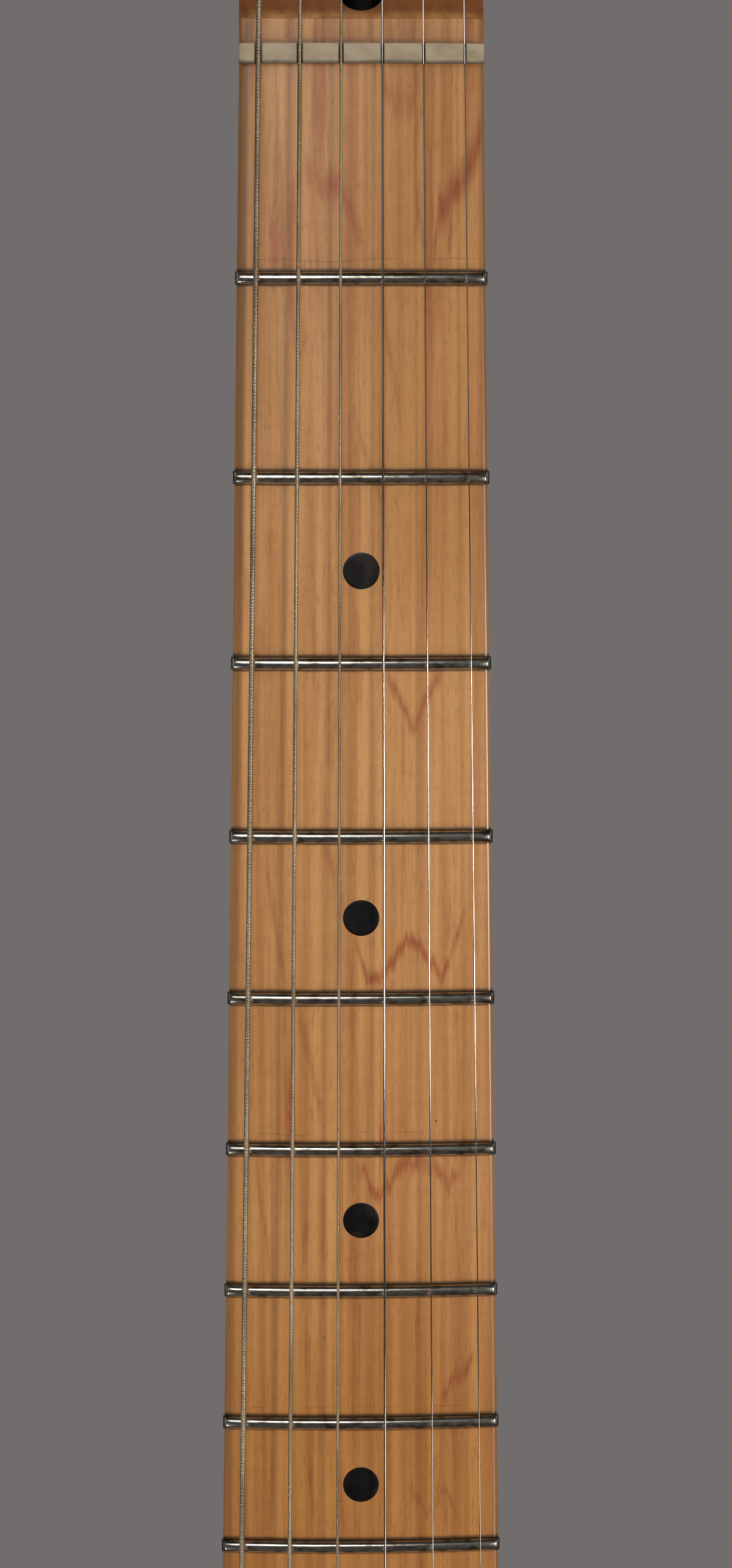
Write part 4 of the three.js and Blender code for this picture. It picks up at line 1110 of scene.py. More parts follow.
@dataclass(frozen=True)
class Chrome:
    """Bright plated metal with haze, fine scratches and a few freckles."""

    name: str = "tuner_chrome"
    bright: Colour = srgb(222, 224, 228)
    haze: Colour = srgb(176, 176, 176)
    roughness: float = 0.12

    def build(self) -> Material:
        """Builds the material.

        Returns:
            The material.
        """
        tree = ShaderTree(self.name)
        cloud = tree.noise((160, 160, 160), 4.0)
        scratch = tree.noise((700, 4200, 900), 3.0)
        freckle = tree.step(tree.noise((1500, 1500, 1500), 2.0), 0.72, 0.8)
        colour = tree.blend(tree.step(cloud, 0.45, 0.8) * 0.6 + freckle * 0.3, self.bright, self.haze)
        rough = cloud * 0.14 + freckle * 0.2 + self.roughness
        return tree.done(Base_Color=colour, Metallic=1.0, Roughness=rough,
                         Normal=tree.bump(scratch, 0.06, 0.00003))


@dataclass(frozen=True)
class DarkSteel:
    """Oiled steel of the truss rod and its nut."""

    steel: Colour = srgb(96, 96, 98)
    rust: Colour = srgb(84, 62, 46)

    def build(self) -> Material:
        """Builds the material.

        Returns:
            The material.
        """
        tree = ShaderTree("rod_steel")
        cloud = tree.noise((300, 300, 120), 4.0)
        colour = tree.blend(tree.step(cloud, 0.45, 0.75), self.steel, self.rust)
        return tree.done(Base_Color=colour, Metallic=0.9, Roughness=cloud * 0.3 + 0.35,
                         Normal=tree.bump(cloud, 0.2, 0.0001))


@dataclass(frozen=True)
class OiledWalnut:
    """Dark walnut of the strip in the neck's back, under the same lacquer."""

    dark: Colour = srgb(62, 38, 22)
    light: Colour = srgb(108, 68, 40)
    pores: Colour = srgb(34, 20, 12)

    def build(self) -> Material:
        """Builds the material.

        Returns:
            The material.
        """
        tree = ShaderTree("lacquered_walnut")
        streak = tree.noise((900, 900, 11), 5.0, 0.65)
        pore = tree.noise((3200, 3200, 260), 2.0)
        colour = tree.blend(tree.step(streak, 0.3, 0.7), self.dark, self.light)
        colour = tree.blend(tree.step(pore, 0.6, 0.8) * 0.5, colour, self.pores)
        return tree.done(Base_Color=colour, Roughness=streak * 0.2 + 0.3,
                         Normal=tree.bump(pore, 0.15, 0.0001), Coat_Weight=0.7, Coat_Roughness=0.14)


@dataclass(frozen=True)
class StudioFloor:
    """Plain pale floor with the faintest unevenness."""

    pale: Colour = srgb(228, 225, 220)
    worn: Colour = srgb(214, 211, 206)
    mirrored: Colour = srgb(60, 57, 55)

    def build(self) -> Material:
        """Builds the material, which metal shows as a dark floor.

        Returns:
            The material.
        """
        tree = ShaderTree("studio_floor")
        cloud = tree.noise((3, 3, 3), 2.0)
        colour = tree.blend(cloud * 0.2, self.pale, self.worn)
        path = tree.node("ShaderNodeLightPath")
        plain = tree.out("ShaderNodeBsdfDiffuse", sockets={"Color": colour})
        dark = tree.out("ShaderNodeEmission", sockets={"Color": self.mirrored})
        both = tree.out("ShaderNodeMixShader", sockets={
            0: tree.wire(path, "Is Glossy Ray"), 1: plain, 2: dark})
        tree.node("ShaderNodeOutputMaterial", sockets={"Surface": both})
        return tree.material


@dataclass(frozen=True)
class Finishes:
    """Every finish of the neck, built once."""

    maple: Material
    bone: Material
    fret: Material
    inlay: Material
    wound: Material
    plain: Material
    brass: Material
    chrome: Material
    steel: Material
    walnut: Material

    @classmethod
    def build(cls) -> "Finishes":
        """Builds every finish.

        Returns:
            The finishes.
        """
        wound = StringMetal("wound_nickel", srgb(214, 202, 178), srgb(168, 152, 128), 0.36, 0.1)
        plain = StringMetal("plain_steel", srgb(214, 212, 208), srgb(176, 172, 166), 0.05, 0.07)
        brass = StringMetal("ball_brass", srgb(202, 168, 96), srgb(150, 116, 60), 0.24)
        return cls(
            maple=LacqueredMaple().build(), bone=AgedBone().build(), fret=PolishedWire().build(),
            inlay=BlackInlay().build(), wound=wound.build(), plain=plain.build(), brass=brass.build(),
            chrome=Chrome().build(), steel=DarkSteel().build(), walnut=OiledWalnut().build())


# Geometry Nodes


class GeometryTree(NodeTree):
    """A Geometry Nodes tree with named inputs."""

    def __init__(self, name: str) -> None:
        """Starts a tree that takes and gives a geometry.

        Args:
            name: The tree's name.
        """
        super().__init__(bpy.data.node_groups.new(name, "GeometryNodeTree"))
        for way in ("INPUT", "OUTPUT"):
            self.group.interface.new_socket("Geometry", in_out=way, socket_type="NodeSocketGeometry")
        self.identifiers: dict[str, str] = {}
        self.start = self.node("NodeGroupInput")

    @property
    def seed(self) -> Wire:
        """The geometry that the tree takes."""
        return self.wire(self.start)

    def size(self, name: str) -> Wire:
        """Adds a named input for a size.

        Args:
            name: The input's name.

        Returns:
            The input's wire.
        """
        made = self.group.interface.new_socket(name, in_out="INPUT", socket_type="NodeSocketFloat")
        self.identifiers[name] = made.identifier
        return self.wire(self.start, name)

    def scatter(self, piece: Wire, turn: Triple) -> Wire:
        """Sets a piece at each point of the tree's seed.

        Args:
            piece: The piece.
            turn: Its turn about X, Y and Z.

        Returns:
            The instances.
        """
        facing = self.out("FunctionNodeEulerToRotation", sockets={0: turn})
        points = self.out("GeometryNodeMeshToPoints", sockets={0: self.seed})
        return self.out("GeometryNodeInstanceOnPoints", sockets={
            "Points": points, "Instance": piece, "Rotation": facing})

    def finish(self, geometry: Wire, material: Material) -> None:
        """Ends the tree in real geometry.

        Args:
            geometry: What the tree has built.
            material: Its finish.
        """
        real = self.out("GeometryNodeRealizeInstances", sockets={0: geometry})
        dressed = self.out("GeometryNodeSetMaterial", sockets={"Geometry": real, "Material": material})
        self.node("NodeGroupOutput", sockets={0: dressed})

    def grow(self, name: str, seed: Mesh, sizes: dict[str, float], smooth: float = 40.0) -> Mesh:
        """Runs the tree on a seed mesh.

        Args:
            name: The new mesh's name.
            seed: The mesh that the tree takes.
            sizes: A value for each named input.
            smooth: Edges below this many degrees are shaded smooth.

        Returns:
            The grown mesh.
        """
        carrier = placed(name, seed)
        modifier = carrier.modifiers.new(name, "NODES")
        modifier.node_group = self.group
        for key, value in sizes.items():
            modifier[self.identifiers[key]] = value
        made = baked(carrier, name, smooth)
        bpy.data.objects.remove(carrier)
        return made


def winding_tree(material: Material) -> GeometryTree:
    """Builds the tree that winds a wire round a string's core along its route.

    Args:
        material: The string's finish.

    Returns:
        The tree, with the inputs Core radius, Wire radius, Pitch and Step.
    """
    tree = GeometryTree("wound_string")
    core, wire, pitch, step = (tree.size(n) for n in ("Core radius", "Wire radius", "Pitch", "Step"))
    route = tree.out("GeometryNodeMeshToCurve", sockets={0: tree.seed})
    even = tree.out("GeometryNodeResampleCurve", {"mode": "LENGTH"}, {"Curve": route, "Length": step})
    angle = tree.out("GeometryNodeInputIndex") * step / pitch * (2 * pi)
    reach = core + wire
    normal = tree.out("GeometryNodeInputNormal")
    tangent = tree.out("GeometryNodeInputTangent")
    side = tree.out("ShaderNodeVectorMath", {"operation": "CROSS_PRODUCT"}, {0: tangent, 1: normal})
    arms = []
    for trig, axis in (("COSINE", normal), ("SINE", side)):
        length = tree.math(trig, angle) * reach
        arms.append(tree.out("ShaderNodeVectorMath", {"operation": "SCALE"}, {0: axis, "Scale": length}))
    offset = tree.out("ShaderNodeVectorMath", {"operation": "ADD"}, dict(enumerate(arms)))
    coil = tree.out("GeometryNodeSetPosition", sockets={"Geometry": even, "Offset": offset})
    tubes = []
    for line, sides, radius in ((coil, 4, wire), (route, 6, reach)):
        circle = tree.out("GeometryNodeCurvePrimitiveCircle",
                          sockets={"Resolution": sides, "Radius": radius})
        tubes.append(tree.out("GeometryNodeCurveToMesh", sockets={
            "Curve": line, "Profile Curve": circle, "Fill Caps": True}))
    tree.finish(tree.out("GeometryNodeJoinGeometry", sockets={0: tubes}), material)
    return tree


def screw_tree(material: Material) -> GeometryTree:
    """Builds the tree that sets a crossed screw head at each point, facing along Y.

    Args:
        material: The screws' finish.

    Returns:
        The tree, with the inputs Radius, Height and Slot.
    """
    tree = GeometryTree("screw_heads")
    radius, height, slot = (tree.size(n) for n in ("Radius", "Height", "Slot"))
    ball = tree.out("GeometryNodeMeshUVSphere", sockets={"Segments": 20, "Rings": 12, "Radius": radius})
    squash = tree.out("ShaderNodeCombineXYZ", sockets={"X": 1.0, "Y": 1.0, "Z": height / radius})
    head = tree.out("GeometryNodeTransform", sockets={"Geometry": ball, "Scale": squash})
    bars, long = [], radius * 1.15
    lift = tree.out("ShaderNodeCombineXYZ", sockets={"Z": height})
    for x, y in ((long, slot), (slot, long)):
        size = tree.out("ShaderNodeCombineXYZ", sockets={"X": x, "Y": y, "Z": height})
        bar = tree.out("GeometryNodeMeshCube", sockets={"Size": size})
        bars.append(tree.out("GeometryNodeTransform", sockets={"Geometry": bar, "Translation": lift}))
    cross = tree.out("GeometryNodeMeshBoolean", {"operation": "UNION"}, {"Mesh 2": bars})
    screw = tree.out("GeometryNodeMeshBoolean", {"operation": "DIFFERENCE"},
                     {"Mesh 1": head, "Mesh 2": cross})
    tree.finish(tree.scatter(screw, (-pi / 2, 0.0, 0.0)), material)
    return tree


def side_dot_tree(material: Material) -> GeometryTree:
    """Builds the tree that sets a round pin at each point, along X.

    Args:
        material: The pins' finish.

    Returns:
        The tree, with the inputs Radius and Length.
    """
    tree = GeometryTree("side_dots")
    radius, length = tree.size("Radius"), tree.size("Length")
    pin = tree.out("GeometryNodeMeshCylinder", sockets={
        "Vertices": 24, "Side Segments": 1, "Radius": radius, "Depth": length})
    tree.finish(tree.scatter(pin, (0.0, pi / 2, 0.0)), material)
    return tree


def point_mesh(name: str, places: Sequence[Vector], joined: bool = False) -> Mesh:
    """Makes a mesh without faces.

    Args:
        name: The mesh's name.
        places: Its points.
        joined: Whether one open line joins them.

    Returns:
        The mesh.
    """
    made = bpy.data.meshes.new(name)
    line = [(i, i + 1) for i in range(len(places) - 1)] if joined else []
    made.from_pydata([tuple(p) for p in places], line, [])
    return made


# Sub-assemblies


@dataclass
class NeckWood:
    """The one-piece maple neck: rounded shaft, square heel, scooped headstock."""

    finishes: Finishes
    board_steps: int = 36
    roll_steps: int = 5
    back_steps: int = 56
    scoop_steps: int = 24
    throat_cuts: int = 25
    outline_steps: int = 28
    edge_steps: int = 4
    smooth: float = 30.0
    back_boxiness: float = 2.15
    scoop_boxiness: float = 6.0
    heel_boxiness: float = 34.0
    head_boxiness: float = 3.4
    skin: float = 0.3 * MM
    run_in: float = 4 * MM
    heel_step: float = 2.5 * MM
    tuck: float = 0.04 * MM
    head_round: float = 1.0 * MM
    straight: float = 3.4 * MM
    shoulder_lead: float = 15 * MM
    shoulder_pull: float = 10 * MM
    tip_lead: float = 12.5 * MM
    tip_pull: float = 12 * MM
    tip_side: float = 14.5 * MM
    tip_rise: float = 4 * MM
    treble_pull: float = 50 * MM
    tuner_to_edge: float = 12 * MM
    pilot_radius: float = 1.6 * MM
    pilot_depth: float = 17 * MM
    pilot_spacing: Pair = (38.1 * MM, 50.8 * MM)
    access_reach: Pair = (-22 * MM, 20 * MM)

    def section(self, rise: float, half: float, depth: float, boxiness: float,
                floor: float) -> list[Vector]:
        """Returns one cross-section of the shaft.

        Args:
            rise: How far above the nut's front face it lies.
            half: Half its width.
            depth: Its depth from the crown line to the back.
            boxiness: The power of its rounded back.
            floor: The depth that its top is cut down to.

        Returns:
            A closed ring of points.
        """
        top_half = half - PLAN.edge_roll
        pairs = []
        for i in range(self.board_steps + 1):
            x = top_half * (2 * i / self.board_steps - 1)
            pairs.append((x, PLAN.crown_drop(x)))
        start = PLAN.crown_drop(top_half)
        angles = [pi / 2 * i / self.roll_steps for i in range(1, self.roll_steps + 1)]
        roll = [(PLAN.edge_roll * sin(a), PLAN.edge_roll * (1 - cos(a))) for a in angles]
        pairs += [(top_half + out, start + down) for out, down in roll]
        side_end = start + PLAN.edge_roll + PLAN.board_side
        for i in range(self.back_steps + 1):
            angle = pi * i / self.back_steps
            swing, lift = cos(angle), sin(angle)
            x = half * copysign(abs(swing) ** (2 / boxiness), swing)
            pairs.append((x, side_end + (depth - side_end) * abs(lift) ** (2 / boxiness)))
        pairs += [(-top_half - out, start + down) for out, down in reversed(roll)]
        return [PLAN.point(x, max(d, floor), rise) for x, d in pairs]

    def station(self, distance: float) -> Triple:
        """Finds the shaft's measures along its length.

        Args:
            distance: How far below the nut.

        Returns:
            Half the width, the depth and the boxiness of the back.
        """
        heel = PLAN.board_length - PLAN.heel_length
        scoop = heel - PLAN.heel_scoop
        half = PLAN.half_width(distance)
        inner = PLAN.heel_depth - self.skin
        if distance <= scoop:
            depth = mix(PLAN.depth_at_nut, PLAN.depth_at_scoop, distance / scoop)
            return half, depth, self.back_boxiness
        if distance <= heel - self.heel_step:
            share = ease((distance - scoop) / PLAN.heel_scoop)
            depth = mix(PLAN.depth_at_scoop, inner, share)
            return half, depth, mix(self.back_boxiness, self.scoop_boxiness, share)
        share = ease((distance - heel + self.heel_step) / self.heel_step)
        corner, left = PLAN.heel_corner, PLAN.board_length - distance
        if left < corner:
            half -= corner - sqrt(corner**2 - (corner - left) ** 2)
        depth = mix(inner, PLAN.heel_depth, share)
        return half, depth, mix(self.scoop_boxiness, self.heel_boxiness, share)

    def back_depth(self, distance: float, x: float) -> float:
        """Finds where the shaft's back lies.

        Args:
            distance: How far below the nut.
            x: The place across the neck.

        Returns:
            The back's depth there.
        """
        half, depth, boxiness = self.station(distance)
        top_half = half - PLAN.edge_roll
        side_end = PLAN.crown_drop(top_half) + PLAN.edge_roll + PLAN.board_side
        return side_end + (depth - side_end) * (1 - (abs(x) / half) ** boxiness) ** (1 / boxiness)

    def shaft(self) -> Mesh:
        """Builds the shaft with its heel, as one closed skin.

        Returns:
            The shaft's mesh.
        """
        rings = []
        end, step = PLAN.board_length, self.heel_step
        heel = end - PLAN.heel_length
        distances = [end - g * MM for g in (0, 0.15, 0.5, 1, 1.8, 2.8, 4, 5.4, 7, 20, 40, 60)] + [heel]
        distances += [heel - step * k / 5 for k in range(1, 6)]
        distances += [heel - step - (PLAN.heel_scoop - step) * k / 14 for k in range(1, 15)]
        distances += [(heel - PLAN.heel_scoop) * (1 - k / 30) for k in range(1, 31)]
        for distance in distances:
            half, depth, boxiness = self.station(distance)
            rings.append(self.section(-distance, half, depth, boxiness, -1.0))
        back = PLAN.face_drop + PLAN.head_thickness - self.tuck
        for rise, floor in self.head_levels():
            half = PLAN.half_width(0) - self.tuck * min(max(rise - PLAN.head_start, 0) / MM, 1)
            share = min(rise / (PLAN.shelf_end + PLAN.throat_radius), 1)
            beyond = max(rise - PLAN.head_start - PLAN.throat_radius, 0.0) / self.run_in
            depth = mix(PLAN.depth_at_nut, back, share) - beyond * MM
            boxiness = mix(self.back_boxiness, self.head_boxiness, share)
            rings.append(self.section(rise, half, depth, boxiness, floor))
        return Skin().loft(rings).mesh("neck_shaft")

    def head_levels(self) -> list[Pair]:
        """Finds the levels at which the headstock's root is drawn.

        Returns:
            Rises above the nut's front, each with the depth that the top is cut to.
        """
        shelf, nut = PLAN.shelf_end, PLAN.nut_thickness
        levels = [(0.0, PLAN.nut_seat), (nut, PLAN.nut_seat), (nut, PLAN.shelf_drop),
                  (shelf, PLAN.shelf_drop)]
        for i in range(1, self.scoop_steps + 1):
            rise = mix(shelf, shelf + PLAN.throat_radius, i / self.scoop_steps)
            levels.append((rise, PLAN.air(rise) + self.tuck))
        start = PLAN.head_start + PLAN.throat_radius
        return levels + [(start + self.run_in * i / 2, PLAN.face_drop + self.tuck) for i in range(3)]

    def head_outline(self) -> list[Vector]:
        """Draws the headstock's outline.

        Returns:
            Points of X and rise, in one sense.
        """
        along, out = PLAN.post_line, PLAN.button_side
        first, last = PLAN.posts[0], PLAN.posts[-1]
        edge_low = first - along * self.shoulder_lead + out * self.tuner_to_edge
        edge_high = last + along * self.tip_lead + out * self.tuner_to_edge
        tip_end = last + along * self.tip_rise - out * self.tip_side
        half = PLAN.half_width(0)
        bass, treble = Vector((-half, PLAN.head_start)), Vector((half, PLAN.head_start))
        up = Vector((0, 1))
        flare = bass + up * self.straight
        curves = [
            (flare, flare + up * self.shoulder_pull, edge_low - along * self.shoulder_pull, edge_low),
            (edge_low, mix(edge_low, edge_high, 1 / 3), mix(edge_low, edge_high, 2 / 3), edge_high),
            (edge_high, edge_high + along * self.tip_pull, tip_end + up * self.tip_pull, tip_end),
            (tip_end, tip_end - up * self.treble_pull, treble + up * self.treble_pull, treble),
        ]
        points = [bass]
        for a, b, c, d in curves:
            for i in range(self.outline_steps):
                t = i / self.outline_steps
                points.append(a * (1 - t) ** 3 + b * (3 * t * (1 - t) ** 2)
                              + c * (3 * t * t * (1 - t)) + d * t**3)
        return points + [treble]

    def headstock(self) -> Mesh:
        """Builds the headstock with rounded edges, its scoop in front and its throat behind.

        Returns:
            The headstock's mesh.
        """
        outline = self.head_outline()
        count = len(outline)
        inward = []
        for i, point in enumerate(outline):
            run = (outline[(i + 1) % count] - outline[i - 1]).normalized()
            inward.append(Vector((run.y, -run.x)))
        centre = sum(outline, Vector((0, 0))) / count
        if sum((centre - p).dot(n) for p, n in zip(outline, inward)) < 0:
            inward = [-n for n in inward]
        height, corner = PLAN.head_thickness, self.head_round
        angles = [pi / 2 * i / self.edge_steps for i in range(self.edge_steps + 1)]
        levels = [(corner * (1 - sin(a)), corner * (1 - cos(a))) for a in angles]
        levels += [(inset, height - off) for inset, off in reversed(levels)]
        rings = [[Vector((p.x + n.x * inset, off, PLAN.z_at(p.y + n.y * inset)))
                  for p, n in zip(outline, inward)] for inset, off in levels]
        made = Skin().loft(rings).mesh("headstock", self.smooth)
        shell = bmesh.new()
        shell.from_mesh(made)
        start, end = PLAN.head_start, PLAN.head_start + PLAN.throat_radius
        for i in range(1, self.throat_cuts + 1):
            level = PLAN.z_at(mix(start, end, i / self.throat_cuts))
            parts = shell.verts[:] + shell.edges[:] + shell.faces[:]
            bmesh.ops.bisect_plane(shell, geom=parts, plane_co=(0, 0, level), plane_no=(0, 0, 1))
        for vertex in shell.verts:
            rise, off = vertex.co.z - PLAN.nut_z, vertex.co.y
            front = off < height / 2
            depth = PLAN.air(rise) + off if front else PLAN.throat(rise) - (height - off)
            vertex.co.y = PLAN.y_at(depth)
        shell.to_mesh(made)
        shell.free()
        shade(made, self.smooth)
        return made

    def holes(self) -> Mesh:
        """Builds the drills of the truss rod's access hole and of the heel's screw holes.

        Returns:
            The drills' mesh.
        """
        skin = Skin()
        tilt = Matrix.Translation(PLAN.point(0, PLAN.access_depth, PLAN.access_rise)) \
            @ Matrix.Rotation(pi / 2 + PLAN.access_tilt, 4, "X")
        (back, out), radius = self.access_reach, PLAN.access_radius
        skin.turned([(0, back), (radius, back), (radius, out), (0, out)], 56, tilt)
        pilot, depth, mouth = self.pilot_radius, self.pilot_depth, 0.5 * MM
        profile = [(0, -depth), (pilot, -depth + pilot), (pilot, -0.4 * MM), (pilot + 0.9 * MM, mouth),
                   (0, mouth)]
        for x in (-0.5, 0.5):
            for z in (-0.5, 0.5):
                place = (x * self.pilot_spacing[0], 0, z * self.pilot_spacing[1])
                skin.turned(profile, 28, Matrix.Translation(place))
        return skin.mesh("neck_holes")

    def build(self) -> None:
        """Makes the neck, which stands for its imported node."""
        wood = carve(self.shaft(), self.headstock(), Cut.JOIN, self.smooth)
        wood = carve(wood, self.holes(), Cut.REMOVE, self.smooth)
        wood.materials.clear()
        show("neck_wood", wood, self.finishes.maple, ["neck"])


@dataclass
class FillerStrip:
    """The walnut strip that closes the truss rod's channel, flush with the neck's back."""

    finishes: Finishes
    wood: NeckWood
    half: float = 3.1 * MM
    proud: float = 0.02 * MM
    thickness: float = 1.4 * MM
    tip: float = 0.02 * MM
    steps: int = 480
    columns: int = 10

    def build(self) -> None:
        """Makes the strip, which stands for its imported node."""
        low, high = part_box("filler_strip")
        rings = []
        for i in range(self.steps + 1):
            z = mix(low.z, high.z, i / self.steps)
            near = min(z - low.z, high.z - z, self.half)
            half = max(sqrt(max(self.half**2 - (self.half - near) ** 2, 0)), self.tip)
            outer, inner = [], []
            for k in range(self.columns + 1):
                x = half * (2 * k / self.columns - 1)
                depth = self.wood.back_depth(PLAN.nut_z - z, x)
                outer.append(Vector((x, PLAN.y_at(depth + self.proud), z)))
                inner.append(Vector((x, PLAN.y_at(depth - self.thickness), z)))
            rings.append(outer + inner[::-1])
        strip = Skin().loft(rings).mesh("walnut_strip")
        show("walnut_strip", strip, self.finishes.walnut, ["filler_strip"])


@dataclass
class Frets:
    """Twenty-one crowned frets with sloped ends."""

    finishes: Finishes
    width: float = 2.3 * MM
    height: float = 1.16 * MM
    overhang: float = 0.3 * MM
    slope: float = radians(33)
    squareness: float = 2.3
    arc_steps: int = 14
    length_steps: int = 30
    end_round: float = 0.16 * MM
    lift: float = 0.02 * MM
    foot: float = 0.12 * MM

    def profile(self, shrink: float) -> list[Pair]:
        """Draws the crown's section.

        Args:
            shrink: How much it is drawn in, near its ends.

        Returns:
            Pairs of places across the fret and above the board.
        """
        pairs = []
        for i in range(self.arc_steps + 1):
            angle = pi * i / self.arc_steps
            across = -copysign(abs(cos(angle)) ** (2 / self.squareness), cos(angle))
            up = sin(angle) ** (2 / self.squareness)
            pairs.append((across * (self.width / 2 - shrink), up * (self.height - shrink) + self.lift))
        return pairs + [(self.width / 2 - shrink, -self.foot), (-self.width / 2 + shrink, -self.foot)]

    def fret(self, number: int) -> Mesh:
        """Builds one fret, bent to the board's arc.

        Args:
            number: The fret's number.

        Returns:
            Its mesh.
        """
        distance = PLAN.fret_distance(number)
        half = PLAN.half_width(distance)
        stations = [(-1, 0.0, 1.0), (-1, 0.3, 0.45), (-1, 1.0, 0.0)]
        stations += [(2 * i / self.length_steps - 1, 1.0, 0.0) for i in range(1, self.length_steps)]
        stations += [(1, 1.0, 0.0), (1, 0.3, 0.45), (1, 0.0, 1.0)]
        rings = []
        for share, back, shrink in stations:
            ring = []
            for across, up in self.profile(self.end_round * shrink * shrink):
                end = half + self.overhang - max(up, 0.0) * tan(self.slope) - self.end_round * back
                angle, radius = share * end / PLAN.board_radius, PLAN.board_radius + up
                ring.append(PLAN.point(radius * sin(angle),
                                       PLAN.board_radius - radius * cos(angle), across - distance))
            rings.append(ring)
        return Skin().loft(rings).mesh(f"fret_wire_{number}", 38.0)

    def build(self) -> None:
        """Makes every fret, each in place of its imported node."""
        for number in range(1, PLAN.fret_count + 1):
            show(f"fret_wire_{number}", self.fret(number), self.finishes.fret,
                 [f"fret_{number}"])


@dataclass
class Markers:
    """Black position dots in the face, and small ones on the bass edge."""

    finishes: Finishes
    frets: tuple[int, ...] = (3, 5, 7, 9, 12, 15, 17, 19, 21)
    octave: int = 12
    radius: float = 3.28 * MM
    depth: float = 1.7 * MM
    proud: float = 0.02 * MM
    pair_spacing: float = 19 * MM
    side_pair_spacing: float = 8 * MM
    sides: int = 48
    side_radius: float = 1.0 * MM
    side_length: float = 1.2 * MM
    side_depth: float = 4.0 * MM

    def dot(self, name: str, distance: float, offset: float) -> Mesh:
        """Builds a dot that follows the board's arc.

        Args:
            name: The mesh's name.
            distance: How far below the nut.
            offset: Its middle's X.

        Returns:
            The dot's mesh.
        """
        shares = [(0.0, 1.0), (0.3, 1.0), (0.6, 1.0), (0.85, 1.0), (0.965, 0.9), (1.0, 0.0)]
        rings = []
        for out, up in shares:
            rings.append(self.ring(distance, offset, self.radius * out, self.proud * (2 * up - 1)))
        rings.append(self.ring(distance, offset, self.radius, -self.depth))
        rings.append(self.ring(distance, offset, 0.0, -self.depth))
        return Skin().loft(rings, capped=False).mesh(name, 50.0)

    def ring(self, distance: float, offset: float, radius: float, up: float) -> list[Vector]:
        """Lays a circle on the board's arc.

        Args:
            distance: How far below the nut.
            offset: Its middle's X.
            radius: The circle's radius.
            up: How far above the board.

        Returns:
            The circle's points.
        """
        points = []
        for angle in round_angles(self.sides):
            x = offset + radius * cos(angle)
            points.append(Vector((x, PLAN.y_at(PLAN.crown_drop(x) - up),
                                  PLAN.z_at(-distance) + radius * sin(angle))))
        return points

    def build(self) -> None:
        """Makes every dot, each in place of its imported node, and the side dots."""
        side_places = []
        for fret in self.frets:
            distance = PLAN.between_frets(fret)
            named, spread = [(f"dot_{fret}", 0.0)], [0.0]
            if fret == self.octave:
                apart, side_apart = self.pair_spacing / 2, self.side_pair_spacing / 2
                named = [(f"dot_{fret}_bass", -apart), (f"dot_{fret}_treble", apart)]
                spread = [-side_apart, side_apart]
            for name, offset in named:
                dot = self.dot(f"inlay_{name}", distance, offset)
                show(f"inlay_{name}", dot, self.finishes.inlay, [name])
            for shift in spread:
                x = -PLAN.half_width(distance + shift) + self.side_length / 2 - self.proud
                side_places.append(PLAN.point(x, self.side_depth, -distance - shift))
        tree = side_dot_tree(self.finishes.inlay)
        grown = tree.grow("side_dots", point_mesh("side_dot_places", side_places),
                          {"Radius": self.side_radius, "Length": self.side_length})
        show("side_dots", grown, self.finishes.inlay)


